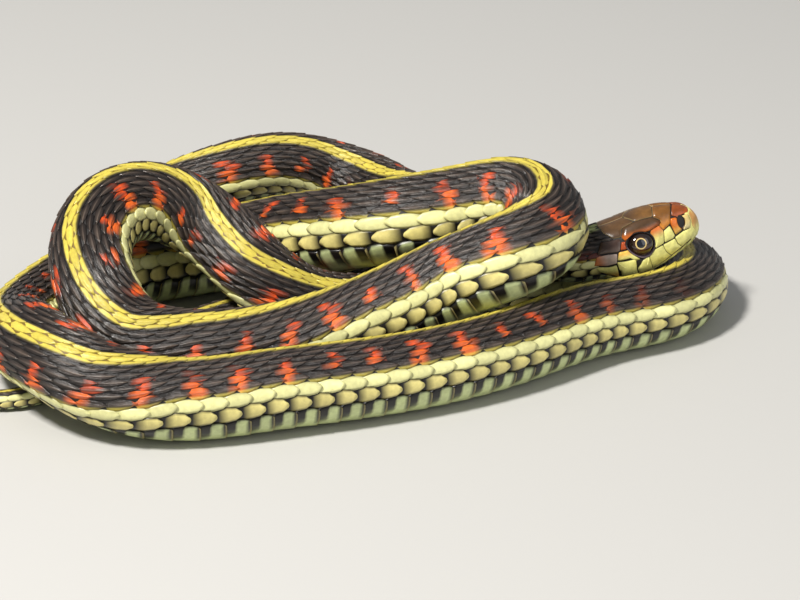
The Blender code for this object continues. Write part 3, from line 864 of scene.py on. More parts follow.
def back_roots():
    """Roots of the scales of every ring: distance, angle, length, width, thickness and row."""
    roots = []
    for distance in ring_starts():
        pitch = pitch_at(distance)
        middles, widths, middle_width = row_angles(rows_each_side(distance))
        length = LAP * pitch
        height = min(1.0, float(half_width(distance)) / FULL_SIZE_AT)
        rows = [(0.0, 0.0, middle_width, MIDDLE_TIER)]
        for number, (angle, width) in enumerate(zip(middles, widths)):
            shift = 0.5 * pitch * ((len(middles) - number) % 2)
            tier = number + 1 + (MOST_ROWS - len(middles)) * (number >= ROWS_KEPT)
            rows += [(shift, side * angle, width, tier) for side in (-1.0, 1.0)]
        for shift, angle, width, tier in rows:
            start = distance + shift
            if start + length < BODY_LENGTH - TAIL_END and not under_shields(start + LAP_UNDER * length, angle):
                roots.append((start, angle, length, width * SCALE_BROAD, height, tier))
    return roots


def throat_roots():
    """Small smooth scales between the chin shields, the lip shields and the first belly plate."""
    roots = []
    for distance in np.arange(THROAT_FRONT, THROAT_REAR, THROAT_PITCH):
        for row, angle in enumerate(np.radians(THROAT_ANGLES)):
            start = distance + 0.5 * THROAT_PITCH * (row % 2)
            if start > THROAT_LAST or under_shields(start + THROAT_LAP_UNDER * THROAT_PITCH, angle):
                continue
            for side in (-1.0, 1.0):
                length = LAP * THROAT_PITCH
                width = THROAT_WIDTH * SCALE_BROAD
                roots.append((start, side * angle, length, width, THROAT_HEIGHT, THROAT_TIER))
    return roots


full_pitch = PITCH_BASE + PITCH_OF_GIRTH * spine_half
bar_at = np.array(ring_starts())[1::2]
KEELED_OUTLINE = [(0.0, 0.34), (0.3, 0.48), (0.6, 0.48), (0.85, 0.32), (1.0, 0.06)]
SMOOTH_OUTLINE = [(0.0, 0.42), (0.3, 0.49), (0.6, 0.5), (0.86, 0.42), (1.0, 0.2)]
SEVEN_ACROSS = (-1.0, -0.62, -0.26, 0.0, 0.26, 0.62, 1.0)
keeled_flake = scale_shape("keeled_flake", KEELED_OUTLINE, -0.1, 0.24, 0.03, 0.26, SEVEN_ACROSS)
smooth_flake = scale_shape("smooth_flake", SMOOTH_OUTLINE, -0.08, 0.28, 0.16, 0.0, SEVEN_ACROSS)
back_horn = scale_finish("keeled_horn", 0.3, 0.8)
side_horn = scale_finish("side_horn", 0.32, 0.2)
every_root = back_roots()
keeled = [root for root in every_root if root[5] >= FRINGE_TIER]
smooth = [root for root in every_root if root[5] < FRINGE_TIER] + throat_roots()
third = len(keeled) // 3 + 1
for part, (flake, roots, finish) in enumerate((
    (keeled_flake, keeled[:third], back_horn),
    (keeled_flake, keeled[third:2 * third], back_horn),
    (keeled_flake, keeled[2 * third:], back_horn),
    (smooth_flake, smooth, side_horn),
)):
    coat = wrapped_scales("body_scales_%d" % (part + 1), flake, roots, "OFBake", finish)
    set_tint(coat.data, back_colours(coat.data))
    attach(coat, "root")

# Belly plates
# One broad smooth horny plate lies under every ring of scales, rooted in the skin and lapped backwards like
# roof tiles, pale with dark side marks. Behind the vent they come in pairs.
plate_horn = scale_finish("plate_horn", 0.33, 0.12)
PLATE_ACROSS = (-1.0, -0.86, -0.72, -0.56, -0.38, -0.19, 0.0, 0.19, 0.38, 0.56, 0.72, 0.86, 1.0)
PLATE_OUTLINE = [
    (0.0, 0.47), (0.28, 0.49), (0.44, 0.5), (0.56, 0.5), (0.79, 0.49), (0.92, 0.47), (1.0, 0.44),
]
PLATE = linear((0.76, 0.80, 0.57))
PLATE_MARGIN = linear((0.58, 0.50, 0.32))
PLATE_LAP = 1.3
FIRST_PLATE = -4.0
PLATE_BROAD = 1.02
PLATE_HEIGHT = 0.8
PAIR_SHIFT = 0.2  # share of its length by which one plate of a pair lies behind the other
# Degrees from the middle of the back, or shares of the plate's length, at which each mark begins and is full.
MARKS_OUTSIDE = (164.0, 142.0)
MARGIN_AT = (0.93, 1.0)
MARGIN_SHARE = 0.8
SLANT = 0.12
SLANT_FROM = (160.0, 128.0)
FRONT_MARK = (0.46, 0.36)
REAR_MARK = (0.79, 0.86)
REAR_MARK_END = (0.99, 0.93)
OUTER_EDGE = (123.5, 121.0)


def plate_roots():
    roots = []
    for distance in ring_starts():
        length = PLATE_LAP * pitch_at(distance)
        if distance < FIRST_PLATE or distance + length > BODY_LENGTH - TAIL_END:
            continue
        width = 2.0 * (math.pi - BELLY_EDGE) * PLATE_BROAD
        height = PLATE_HEIGHT * min(1.0, float(half_width(distance)) / FULL_SIZE_AT)
        if distance < VENT_AT * BODY_LENGTH:
            roots.append((distance, 0.0, length, width, height, 0.0))
        else:
            for side in (-1.0, 1.0):
                start = distance + PAIR_SHIFT * side * length
                roots.append((start, side * width / 4.0, length, width / 2.0, height, 0.0))
    return roots


def plate_colours(mesh):
    rim, reach, luck = (read_marks(mesh, label) for label in ("rim", "reach", "luck"))
    place = read_marks(mesh, "flat_place", 3)
    edge = 180.0 - np.degrees(np.abs(place[:, 1] - 0.5) * 2.0 * math.pi)
    colour = mix(PLATE * np.ones((len(rim), 1)), PLATE_MARGIN, MARGIN_SHARE * smoothstep(*MARGIN_AT, reach))
    front = smoothstep(*FRONT_MARK, reach - SLANT * smoothstep(*SLANT_FROM, edge))
    behind = smoothstep(*REAR_MARK, reach) * smoothstep(*REAR_MARK_END, reach)
    colour = mix(colour, BLACK, np.clip(smoothstep(*MARKS_OUTSIDE, edge) * (front + behind), 0.0, 1.0))
    colour = mix(colour, BLACK, smoothstep(*OUTER_EDGE, edge))
    return colour * (PALE_LIGHT[0] + PALE_LIGHT[1] * luck)[:, None]


plate_flake = scale_shape("plate_flake", PLATE_OUTLINE, 0.0, 0.33, 0.0, 0.0, PLATE_ACROSS)
plates = wrapped_scales("belly_plates", plate_flake, plate_roots(), "belly_map", plate_horn)
set_tint(plates.data, plate_colours(plates.data))
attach(plates, "root")
for flake in (keeled_flake, smooth_flake, plate_flake):
    bpy.data.objects.remove(flake, do_unlink=True)
skin.data.uv_layers.remove(skin.data.uv_layers["belly_map"])

# Head shields
# Large smooth horny plates lie edge to edge over the skull and along both lips, with a thin sunk suture between
# neighbours. All are paired left and right, save the frontal on the crown and one at the tip of each jaw.
SUTURE = 0.022  # half the gap between two shields
SHIELD_RISE = 0.26
SHIELD_ROOT = 0.2  # how far an edge goes down into the skin
OUTLINE_STEP = 0.3
EDGE_STEPS = ((0.0, -SHIELD_ROOT), (0.0, 0.5), (0.07, 0.84), (0.18, 1.0))
FILL_STEPS = (0.72, 0.42, 0.16)
SHIELD_CROWN = 0.1
FORM_SIDES = 160
FORM_NECK = (-2.0, -1.0)
FORM_STEP = 0.3
FORM_SNOUT = 24.6
FORM_TIP_ROOT = 1.1
FORM_INSET = 0.01
FORM_TIP_RINGS = 14
MOST_INSET = 0.45  # share of a narrow shield's room that its rounded edge may take
TINY_SIDE = 1e-9
RAY_ABOVE = 5.0
RAY_REACH = 9.0
LEAST_REACH = 0.01
OPENING = 1.08  # the shields stop this far out from the eye's own outline
CREAM = (0.90, 0.88, 0.53)
CREAM_ORANGE = (0.90, 0.70, 0.32)
OLIVE = (0.42, 0.29, 0.14)
OLIVE_DARK = (0.29, 0.205, 0.125)
RUST_ORANGE = (0.78, 0.40, 0.11)
RED_ORANGE = (0.64, 0.27, 0.11)
GLOSS_DARK = (0.24, 0.17, 0.14)
CHIN = (0.80, 0.86, 0.62)
PALE_LINE = (0.75, 0.66, 0.48)
SUTURE_DARK = (0.10, 0.075, 0.06)
SUTURE_TAN = (0.50, 0.42, 0.24)
# Each shield: name, rise, colour, second colour and the way it lies, suture colour, and its corners as distance
# in front of the neck joint and degrees from the middle of the crown.
PAIRED_SHIELDS = [
    ("upper_lip_1", 1.0, CREAM, CREAM, "front", SUTURE_DARK,
     [(19.2, 82), (21.5, 79), (23.6, 79), (24.2, 88), (24.0, 102), (20.6, 113)]),
    ("upper_lip_2", 1.0, CREAM, CREAM, "front", SUTURE_DARK,
     [(16, 83), (19.2, 83), (20.6, 113), (17.6, 117)]),
    ("upper_lip_3", 1.0, CREAM, CREAM, "front", SUTURE_DARK,
     [(12.2, 86), (14, 83), (16, 83), (17.6, 117), (12.6, 127)]),
    ("upper_lip_4", 1.0, CREAM, CREAM, "front", SUTURE_DARK,
     [(8.9, 100), (10.2, 89), (12.2, 86), (12.6, 127), (9, 128)]),
    ("upper_lip_5", 1.0, CREAM, CREAM, "front", SUTURE_DARK,
     [(4.5, 84), (9.0, 83.5), (8.7, 100), (9, 128), (5.2, 123)]),
    ("upper_lip_6", 1.0, CREAM, CREAM_ORANGE, "low", SUTURE_DARK,
     [(-0.6, 99), (4.4, 88), (4.5, 120), (-0.3, 109)]),
    ("before_eye", 1.0, CREAM, RUST_ORANGE, "high", SUTURE_TAN,
     [(14.0, 53), (16.2, 50.5), (17, 64), (16.4, 81.5), (14.2, 82.5), (13.2, 70)]),
    ("loreal", 1.0, CREAM, CREAM, "front", SUTURE_DARK,
     [(17, 64), (18.7, 59), (19.4, 79.5), (18.8, 82), (16.5, 81.5)]),
    ("rear_nasal", 1.0, RUST_ORANGE, CREAM_ORANGE, "low", SUTURE_DARK,
     [(18.9, 57), (19.3, 45), (20.7, 46), (21.0, 58), (21.3, 76), (19.5, 79)]),
    ("front_nasal", 1.0, (0.84, 0.74, 0.46), (0.86, 0.80, 0.58), "low", SUTURE_DARK,
     [(21.9, 46), (23.6, 41), (23.9, 60), (23.4, 78), (21.6, 77.5), (22.4, 58)]),
    ("internasal", 0.9, (0.50, 0.25, 0.10), (0.68, 0.31, 0.10), "low", SUTURE_DARK,
     [(20.9, 0), (19.7, 40), (21.1, 47), (21.9, 43), (23.6, 38), (24.1, 24), (24.3, 0)]),
    ("prefrontal", 1.0, (0.45, 0.29, 0.12), (0.86, 0.55, 0.18), "low", PALE_LINE,
     [(20.7, 0), (19.5, 40), (18.9, 56), (17, 63), (16.2, 51), (17, 44), (15.5, 31), (16.3, 0)]),
    ("over_eye", 1.5, OLIVE_DARK, RUST_ORANGE, "low", PALE_LINE,
     [(16.9, 45.5), (15.4, 32), (11.1, 24.5), (7.9, 26.5), (7, 44), (7.6, 52), (9.5, 51), (11.6, 51),
      (14.2, 53), (16.2, 50.5)]),
    ("parietal", 1.0, (0.33, 0.235, 0.14), (0.24, 0.175, 0.12), "low", PALE_LINE,
     [(9.2, 0), (10.9, 22.5), (7.8, 25), (7, 42), (5.2, 41), (3.6, 24), (3.2, 0)]),
    # Painted highlight: the upper temple grows a paler grey towards its lower edge, standing for the grey
    # highlights on its glossy horn.
    ("upper_temple", 1.0, GLOSS_DARK, (0.40, 0.34, 0.31), "low", SUTURE_DARK,
     [(5.9, 66), (6.7, 50), (6.4, 44), (2.2, 43), (0.6, 69), (5.2, 68)]),
    # The lower temple's pale grey-mauve is partly the shield's own mauve tone and partly a painted sheen, the
    # whitish gloss of its horn; towards the rear it turns orange.
    ("lower_temple", 1.0, (0.74, 0.66, 0.62), (0.78, 0.46, 0.26), "rear", SUTURE_DARK,
     [(5.1, 70), (0.4, 72), (-0.7, 96), (4.6, 86)]),
    ("behind_eye_1", 0.9, RED_ORANGE, RED_ORANGE, "front", SUTURE_DARK,
     [(6.7, 51), (8.0, 53), (8.0, 66), (5.9, 66)]),
    ("behind_eye_2", 0.9, CREAM, CREAM_ORANGE, "high", SUTURE_TAN,
     [(5.5, 68), (8.0, 68), (9.3, 82), (10.0, 86), (8.6, 86), (8.4, 80.5), (4.7, 82)]),
    ("front_chin", 1.0, CHIN, CHIN, "front", SUTURE_TAN,
     [(22.2, 178.5), (21.8, 160), (20.2, 152), (16.8, 153), (16.8, 178.8)]),
    ("rear_chin", 1.0, CHIN, CHIN, "front", SUTURE_TAN,
     [(16.6, 175), (16.6, 154), (12.5, 156), (10.5, 164), (11.0, 174)]),
]
MIDDLE_SHIELDS = [
    ("frontal", 1.0, OLIVE, OLIVE_DARK, "rear", PALE_LINE,
     [(16.2, 0), (15.4, 30), (11.2, 22.5), (9.3, 0)]),
    ("rostral", 1.0, (0.78, 0.58, 0.33), CREAM, "low", SUTURE_DARK,
     [(24.4, 0), (24.25, 24), (23.8, 41), (24.0, 60), (23.8, 77), (24.4, 90), (24.4, 105), (24.9, 125),
      (25.4, 148), (25.65, 180)]),
    ("mental", 0.9, CREAM, CREAM, "front", SUTURE_TAN,
     [(25.3, 180), (24.9, 155), (24.3, 132), (23.8, 121), (23.0, 140), (22.4, 180)]),
]
MOUTH = [
    (0.8, 110), (3, 116), (5, 125), (9, 131), (12.7, 130), (17.6, 120), (20.6, 116), (23.8, 106), (24.9, 128),
]
LOWER_LIP_BORDERS = (23.8, 22.2, 20.2, 17.6, 14.6, 11.6, 8.4, 5.2, 2.0)
LOWER_LIP_GAP = 3.5
LOWER_LIP_WIDTH = (13.0, 21.0)
LOWER_LIP_SWELL = (0.25, 0.6)
LOWER_LIP_RAKE = 0.9
EYE_OPENING = (10.9, 66.0)
OPENING_LONG = (3.15, 9.0)
OPENING_HIGH = (-0.6, 17.5)
SECOND_FROM = (0.35, 0.9)
# The rear upper lip shields have a black rear edge, which on one of them shows only in the lower half.
DARK_REARED = ("upper_lip_4", "upper_lip_5", "upper_lip_6")
DARK_BELOW = "upper_lip_5"
DARK_REAR = (0.75, 0.35)
DARK_LOW = (0.30, 0.5)
DARK_SHARE = 0.55
SUTURE_SHADE = ((0.0, 1.0), (0.5, 0.7), (0.84, 0.12), (1.0, 0.0))
NOSTRIL_OPENING = (21.6, 58.0)
NOSTRIL_LONG = (0.86, -3.0)
NOSTRIL_HIGH = (0.15, 14.0)


def mouth_at(along):
    return float(np.interp(along, *zip(*MOUTH)))


for number, (front, rear) in enumerate(zip(LOWER_LIP_BORDERS, LOWER_LIP_BORDERS[1:])):
    share = number / (len(LOWER_LIP_BORDERS) - 2)
    swell = math.sin(math.pi * (LOWER_LIP_SWELL[0] + LOWER_LIP_SWELL[1] * share))
    wide = LOWER_LIP_WIDTH[0] + (LOWER_LIP_WIDTH[1] - LOWER_LIP_WIDTH[0]) * swell
    corners = [
        (front, mouth_at(front) + LOWER_LIP_GAP), (rear, mouth_at(rear) + LOWER_LIP_GAP),
        (rear - LOWER_LIP_RAKE, mouth_at(rear) + LOWER_LIP_GAP + wide),
        (front - LOWER_LIP_RAKE, mouth_at(front) + LOWER_LIP_GAP + wide),
    ]
    PAIRED_SHIELDS.append(("lower_lip_%d" % (number + 1), 0.9, CREAM, CHIN, "low", SUTURE_TAN, corners))

form_at = np.concatenate([
    FORM_NECK, np.arange(0.0, FORM_SNOUT, FORM_STEP),
    HEAD_LENGTH - FORM_INSET - np.linspace(FORM_TIP_ROOT, 0.0, FORM_TIP_RINGS) ** 2,
])
form_angle = around(FORM_SIDES)
form_points = []
for along in form_at:
    if along < 0.0:
        ring = body_point(np.full(FORM_SIDES, -along), form_angle, COAT_DEPTH)
    else:
        ring = head_surface(np.full(FORM_SIDES, along), form_angle, COAT_DEPTH, sockets=False)
    form_points.append(ring)
form_points = np.array(form_points).reshape(-1, 3)
form_faces = ring_quads(len(form_at), FORM_SIDES)
head_form = BVHTree.FromPolygons([tuple(point) for point in form_points], form_faces)


def outline_of(corners, side):
    """The shield's edge as points (distance, degrees) close together, its corners eased, clear of the eye."""
    flat = np.array(corners, dtype=float)
    flat[:, 1] *= side
    dense = []
    for here, there in zip(flat, np.roll(flat, -1, axis=0)):
        span = math.hypot(there[0] - here[0], (there[1] - here[1]) * 0.1)
        count = max(2, math.ceil(span / OUTLINE_STEP))
        dense += [here + (there - here) * n / count for n in range(count)]
    dense = np.array(dense)
    dense = 0.5 * dense + 0.25 * (np.roll(dense, 1, axis=0) + np.roll(dense, -1, axis=0))
    for centre, long, high in (
        (EYE_OPENING, OPENING_LONG, OPENING_HIGH),
        (NOSTRIL_OPENING, NOSTRIL_LONG, NOSTRIL_HIGH),
    ):
        axes = np.array([long, high]).T
        own = np.linalg.solve(axes, (dense * (1.0, side) - centre).T).T
        reach = np.linalg.norm(own, axis=1, keepdims=True)
        pushed = own * OPENING / np.maximum(reach, LEAST_REACH)
        clear = (axes @ pushed.T).T + centre
        dense = np.where(reach < OPENING, clear * (1.0, side), dense)
    return dense


def flat_centre(loop):
    after = np.roll(loop, -1, axis=0)
    area = loop[:, 0] * after[:, 1] - after[:, 0] * loop[:, 1]
    return ((loop + after) * area[:, None]).sum(axis=0) / (3.0 * area.sum()), area.sum() / 2.0


def drawn_in(loop, by):
    """The loop with every point moved inwards, at right angles to the edge."""
    run = unit(np.roll(loop, -1, axis=0) - np.roll(loop, 1, axis=0) + TINY_SIDE)
    return loop + np.stack([-run[:, 1], run[:, 0]], axis=1) * by


def shield_mesh(outline, rise):
    """Points, faces, and for each point its share of the way from the suture to the full height."""
    along = outline[:, 0]
    edge = head_surface(along, np.radians(outline[:, 1]), COAT_DEPTH, sockets=False)
    middle = edge.mean(axis=0)
    place, normal, _, _ = head_form.find_nearest(Vector(middle))
    up = np.array(normal)
    if up @ (np.array(place) - (neck_joint + head_forward * along.mean())) < 0.0:
        up = -up
    first = unit(head_forward - up * (head_forward @ up) + head_left * 1e-4)
    second = np.cross(up, first)
    loop = np.stack([(edge - middle) @ first, (edge - middle) @ second], axis=1)
    centre, area = flat_centre(loop)
    if area < 0.0:
        loop = loop[::-1].copy()
        centre, area = flat_centre(loop)
    sides = np.roll(loop, -1, axis=0) - loop
    to_centre = centre - loop
    room = np.abs(sides[:, 0] * to_centre[:, 1] - sides[:, 1] * to_centre[:, 0])
    most = MOST_INSET * float((room / (np.linalg.norm(sides, axis=1) + TINY_SIDE)).min())

    def dropped(spots, height):
        found = []
        for spot in spots:
            start = middle + first * spot[0] + second * spot[1]
            hit, turned, _, _ = head_form.ray_cast(Vector(start + up * RAY_ABOVE), Vector(-up), RAY_REACH)
            if hit is None:
                hit, turned, _, _ = head_form.find_nearest(Vector(start))
            out = np.array(turned)
            if out @ up < 0.0 and out @ (np.array(hit) - neck_joint) < 0.0:
                out = -out
            found.append(np.array(hit) + out * height)
        return found

    points = []
    marks = []
    for inset, share in EDGE_STEPS:
        height = share * rise if share > 0.0 else share
        inner = drawn_in(loop, min(SUTURE + inset, most))
        points += dropped(inner, height)
        marks += [max(share, 0.0)] * len(loop)
    for share in FILL_STEPS:
        points += dropped(centre + (inner - centre) * share, rise + SHIELD_CROWN * (1.0 - share**2))
        marks += [2.0 - share] * len(loop)
    points += dropped([centre], rise + SHIELD_CROWN)
    marks.append(2.0)
    count = len(loop)
    levels = len(EDGE_STEPS) + len(FILL_STEPS)
    faces = ring_quads(levels, count)
    last = (levels - 1) * count
    faces += [(last + i, last + (i + 1) % count, last + count) for i in range(count)]
    faces.append(tuple(range(count - 1, -1, -1)))
    return points, faces, marks


def shield_colours(points, marks, main, second, way, suture, name):
    away = points - neck_joint
    along = away @ head_forward
    high = away @ head_up
    sunk = (high.max() - high) / np.ptp(high)
    share = {
        "low": sunk,
        "high": (high - high.min()) / np.ptp(high),
        "rear": (along.max() - along) / np.ptp(along),
        "front": (along - along.min()) / np.ptp(along),
    }[way]
    colour = mix(linear(main) * np.ones((len(points), 1)), linear(second), smoothstep(*SECOND_FROM, share))
    if name in DARK_REARED:
        behind = smoothstep(along.min() + DARK_REAR[0], along.min() + DARK_REAR[1], along)
        behind *= smoothstep(*DARK_LOW, sunk) if name == DARK_BELOW else DARK_SHARE
        colour = mix(colour, BLACK, behind)
    return mix(colour, linear(suture), np.interp(marks, *zip(*SUTURE_SHADE)))


PITS = (2600.0, 3.0)
PIT_RELIEF = (0.35, 0.00006)
SHIELD_CLOUD = (700.0, 5.0, 0.3, 0.7, 0.78, 1.16)
polished = tinted_finish("shield_horn", 0.27, PITS, PIT_RELIEF, SHIELD_CLOUD)


def settle(name, points, faces, colours, finish):
    made = make_mesh(name, to_metres(np.array(points)), faces)
    set_tint(made.data, np.array(colours))
    made.data.materials.append(finish)
    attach(made, "root")
    return made


shield_points = []
shield_faces = []
shield_tints = []
wanted = [(entry, side) for entry in PAIRED_SHIELDS for side in (1.0, -1.0)]
wanted += [(entry, 0.0) for entry in MIDDLE_SHIELDS]
for (name, share, main, second, way, suture, corners), side in wanted:
    if side == 0.0:
        corners = corners + [(along, -angle) for along, angle in reversed(corners) if angle not in (0, 180)]
        side = 1.0
    points, faces, marks = shield_mesh(outline_of(corners, side), share * SHIELD_RISE)
    shift = len(shield_points)
    shield_points += points
    shield_faces += [tuple(index + shift for index in face) for face in faces]
    shield_tints += list(shield_colours(np.array(points), np.array(marks), main, second, way, suture, name))
settle("head_shields", shield_points, shield_faces, shield_tints, polished)

# Eye rims and nostrils
# A narrow ring of dark skin holds each eye's clear scale. An oval nostril opens between two nasal shields; its
# shallow inner walls and floor are painted near-black as the shade inside the opening.
# Both are soft skin, folded inwards at the edge of the horn.
RIM_PROFILE = ((1.13, -0.2), (1.11, 0.14), (1.06, 0.26), (1.01, 0.24), (0.97, 0.05), (0.94, -0.5), (0.90, -1.3))
RIM_POINTS = 72
RIM_UPPER = linear((0.10, 0.075, 0.075))
RIM_LOWER = linear((0.40, 0.34, 0.38))
NOSTRIL_PROFILE = ((1.2, -0.2), (1.14, 0.16), (1.06, 0.24), (1.0, 0.18), (0.95, 0.02), (0.8, -0.08))
NOSTRIL_RIM = linear((0.50, 0.30, 0.14))
# Painted shade: the near-black of the nostril's shallow inside, standing for the shade within the opening.
NOSTRIL_PAINTED_SHADE = BLACK * 0.4
NOSTRIL_RIM_ABOVE = 0.22
RIM_KNOB = 0.12
RIM_KNOBS = 13.0
KNOBS_ABOVE = 0.1
RIM_LOW = (0.0, 0.8)
RIM_PALE_FROM = 0.9
RIM_PALE_TO = 1.1


def opening_rings(profile, opening, long, high, side, sockets, knob=0.0):
    """Rings round an opening on the head, each a share of its size and a height above the skin."""
    rings = []
    for reach, height in profile:
        along = opening[0] + reach * (np.cos(rim_turn) * long[0] + np.sin(rim_turn) * high[0])
        angle = opening[1] + reach * (np.cos(rim_turn) * long[1] + np.sin(rim_turn) * high[1])
        knobs = 1.0 + knob * np.cos(rim_turn * RIM_KNOBS) * (height > KNOBS_ABOVE)
        rings.append(head_surface(along, np.radians(angle * side), COAT_DEPTH - height * knobs, sockets))
    return np.concatenate(rings)


rim_turn = around(RIM_POINTS)
rim_low = smoothstep(*RIM_LOW, np.sin(rim_turn))
for side, label in ((1.0, "left"), (-1.0, "right")):
    points = opening_rings(RIM_PROFILE, EYE_OPENING, OPENING_LONG, OPENING_HIGH, side, False, RIM_KNOB)
    faces = ring_quads(len(RIM_PROFILE), RIM_POINTS)
    if side > 0.0:
        faces = [tuple(reversed(face)) for face in faces]
    tints = []
    for reach, _ in RIM_PROFILE:
        pale = rim_low * (RIM_PALE_FROM < reach < RIM_PALE_TO)
        tints += list(mix(RIM_UPPER * np.ones((RIM_POINTS, 1)), RIM_LOWER, pale))
    settle("eye_rim_" + label, points, faces, tints, polished)

    points = opening_rings(NOSTRIL_PROFILE, NOSTRIL_OPENING, NOSTRIL_LONG, NOSTRIL_HIGH, side, True)
    faces = ring_quads(len(NOSTRIL_PROFILE), RIM_POINTS)
    floor_start = (len(NOSTRIL_PROFILE) - 1) * RIM_POINTS
    faces.append(tuple(range(RIM_POINTS - 1, -1, -1)))
    faces.append(tuple(range(floor_start, floor_start + RIM_POINTS)))
    tints = []
    for _, height in NOSTRIL_PROFILE:
        # Every ring of the nostril below its rim gets the painted shade colour.
        tints += [NOSTRIL_RIM if height > NOSTRIL_RIM_ABOVE else NOSTRIL_PAINTED_SHADE] * RIM_POINTS
    settle("nostril_" + label, points, faces, tints, polished)

# Eyes
# Large round eyes under a clear fixed scale, which gives them their gloss: a round black pupil, a thin gold
# ring, and a dark iris that is red-gold below. Each lies in a socket and shows only through its rim.
EYE_AXIS = (-0.07, 0.887, 0.454)
EYE_SWING = math.radians(8.0)
EYE_LIFT = math.radians(15.0)
EYE_GREATEST = 3.1
# Share of the eye's radius, the colour there in the upper part, and in the lower part.
EYE_RINGS = (
    (0.0, (0.003, 0.005, 0.012), (0.003, 0.005, 0.012)),
    (0.27, (0.004, 0.006, 0.014), (0.004, 0.006, 0.014)),
    (0.325, (0.003, 0.004, 0.008), (0.003, 0.004, 0.008)),
    (0.345, (0.62, 0.46, 0.16), (0.72, 0.56, 0.24)),
    (0.405, (0.70, 0.52, 0.20), (0.80, 0.62, 0.28)),
    (0.43, (0.04, 0.014, 0.006), (0.22, 0.07, 0.016)),
    (0.62, (0.010, 0.004, 0.003), (0.07, 0.018, 0.007)),
    (1.0, (0.008, 0.004, 0.004), (0.02, 0.008, 0.006)),
)
# Scale and detail of the flecks, the range that is read from them, and their strength at each end.
EYE_FLECKS = (3500.0, 3.0, 0.35, 0.65, 0.4, 1.5)
LOW_LEVEL = 0.15
LOW_SPAN = 2.2


def eye_finish():
    """Wet and glossy; the rings are read from each point's distance from the middle of the pupil."""
    made, tree, shader = node_material("eye")
    ray = add_node(tree, "ShaderNodeAttribute", attribute_name="ray").outputs["Fac"]
    low = add_node(tree, "ShaderNodeAttribute", attribute_name="low").outputs["Fac"]
    colours = []
    for column in (1, 2):
        ramp = add_node(tree, "ShaderNodeValToRGB", {"Fac": ray})
        stops = ramp.color_ramp.elements
        for row in EYE_RINGS[1:-1]:
            stops.new(row[0])
        for stop, row in zip(stops, EYE_RINGS):
            stop.color = (*row[column], 1.0)
        colours.append(ramp.outputs["Color"])
    place = add_node(tree, "ShaderNodeTexCoord").outputs["Object"]
    scale, detail, least, most, faint, strong = EYE_FLECKS
    fleck = add_node(tree, "ShaderNodeTexNoise", {"Vector": place, "Scale": scale, "Detail": detail})
    gain = add_node(tree, "ShaderNodeMapRange", {
        "Value": fleck.outputs["Fac"], "From Min": least, "From Max": most, "To Min": faint, "To Max": strong,
    })
    flecked = add_node(
        tree, "ShaderNodeMath", {0: low, 1: gain.outputs["Result"]}, operation="MULTIPLY", use_clamp=True
    )
    both = add_node(
        tree, "ShaderNodeMix", {0: flecked.outputs[0], 6: colours[0], 7: colours[1]}, data_type="RGBA"
    )
    feed(tree, shader, {
        "Base Color": both.outputs[2], "Roughness": 0.07, "Coat Weight": 0.8, "Coat Roughness": 0.02,
    })
    return made


def turned(first, second, angle):
    return (
        first * math.cos(angle) - second * math.sin(angle),
        first * math.sin(angle) + second * math.cos(angle),
    )


eye_gloss = eye_finish()
for side, label in ((1.0, "left"), (-1.0, "right")):
    ball = bmesh.new()
    bmesh.ops.create_uvsphere(ball, u_segments=128, v_segments=96, radius=1.0)
    axis = unit(np.array([EYE_AXIS[0], EYE_AXIS[1] * side, EYE_AXIS[2]]))
    rays = []
    lows = []
    for vert in ball.verts:
        x = vert.co.x * EYE_RADII[0]
        y = vert.co.z * EYE_RADII[1]
        z = vert.co.y * EYE_RADII[2]
        y, z = turned(y, z, EYE_LIFT * side)
        x, y = turned(x, y, -EYE_SWING * side)
        own = np.array([x, y, z])
        outward = float(own @ axis)
        rays.append(float(np.linalg.norm(own - axis * outward)) / EYE_GREATEST if outward > 0.0 else 1.0)
        lows.append(float(np.clip(LOW_LEVEL - z / LOW_SPAN, 0.0, 1.0)))
        vert.co = Vector(to_metres(head_point(EYE_CENTRE[0] + x, EYE_CENTRE[1] * side + y, EYE_CENTRE[2] + z)))
    bmesh.ops.reverse_faces(ball, faces=ball.faces)
    data = bpy.data.meshes.new("eyeball_" + label)
    ball.to_mesh(data)
    ball.free()
    data.polygons.foreach_set("use_smooth", [True] * len(data.polygons))
    keep_marks(data, "ray", rays)
    keep_marks(data, "low", lows)
    data.materials.append(eye_gloss)
    eye = bpy.data.objects.new("eyeball_" + label, data)
    bpy.context.scene.collection.objects.link(eye)
    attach(eye, "root")
    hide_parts("eye_" + label)

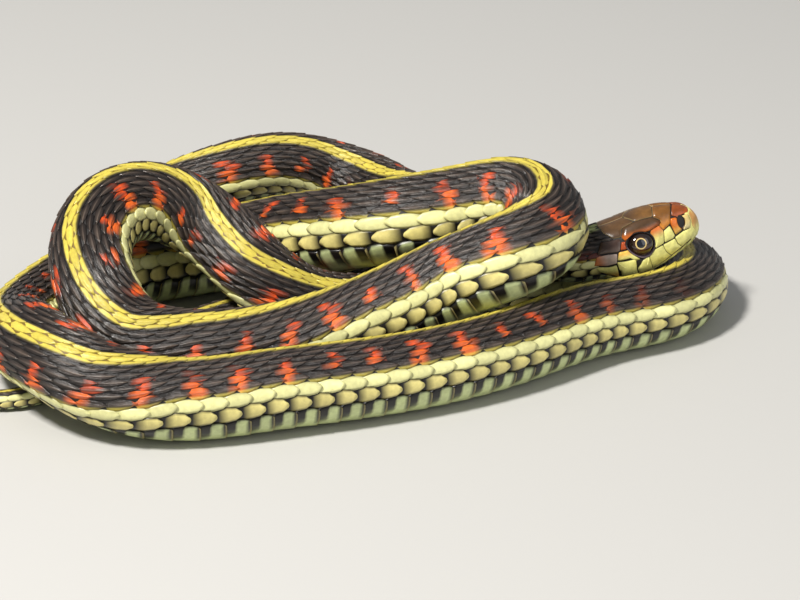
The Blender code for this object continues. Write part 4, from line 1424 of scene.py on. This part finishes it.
# Floor, light and camera
# A plain pale floor, a large soft light high on the left in front and a weaker one on the right.
FLOOR_HALF = 3.0
FLOOR_CORNERS = [(x * FLOOR_HALF, y * FLOOR_HALF, 0.0) for x, y in ((-1, -1), (1, -1), (1, 1), (-1, 1))]
floor = make_mesh("floor", FLOOR_CORNERS, [(0, 1, 2, 3)])
floor_paint, floor_tree, floor_shader = node_material("floor_paint")
feed(floor_tree, floor_shader, {"Base Color": (0.46, 0.455, 0.44, 1.0), "Roughness": 0.7})
floor.data.materials.append(floor_paint)

world = bpy.data.worlds.new("studio")
bpy.context.scene.world = world
world.use_nodes = True
feed(world.node_tree, world.node_tree.nodes["Background"], {"Color": (0.95, 0.97, 1.0, 1.0), "Strength": 0.32})
bpy.context.scene.view_settings.view_transform = "Standard"
bpy.context.scene.view_settings.look = "None"
LIGHT_AIM = Vector((0.0, 0.0, 0.02))


def soft_light(name, place, size, power, colour):
    data = bpy.data.lights.new(name, "AREA")
    data.shape = "SQUARE"
    data.size = size
    data.energy = power
    data.color = colour
    made = bpy.data.objects.new(name, data)
    made.location = place
    made.rotation_euler = (LIGHT_AIM - Vector(place)).to_track_quat("-Z", "Y").to_euler()
    bpy.context.scene.collection.objects.link(made)


soft_light("key_light", (-0.45, -0.45, 0.95), 0.16, 21.0, (1.0, 0.97, 0.92))
soft_light("fill_light", (0.8, -0.6, 0.5), 0.8, 2.5, (1.0, 1.0, 1.0))

VIEW_TILT = math.radians(25.0)
VIEW_DISTANCE = 0.75
VIEW_AIM = (0.0, 0.0, 20.0)
VIEW_WIDTH = 800.0
SENSOR_WIDTH = 36.0
LENS_PIXELS = 3404.0
aim = Vector(to_metres(np.array(VIEW_AIM)))
camera_data = bpy.data.cameras.new("camera")
camera_data.sensor_width = SENSOR_WIDTH
camera_data.lens = SENSOR_WIDTH * LENS_PIXELS / VIEW_WIDTH
camera = bpy.data.objects.new("camera", camera_data)
camera.location = aim + Vector((0.0, -math.cos(VIEW_TILT), math.sin(VIEW_TILT))) * VIEW_DISTANCE
camera.rotation_euler = (math.pi / 2.0 - VIEW_TILT, 0.0, 0.0)
bpy.context.scene.collection.objects.link(camera)
bpy.context.scene.camera = camera
bpy.context.view_layer.update()
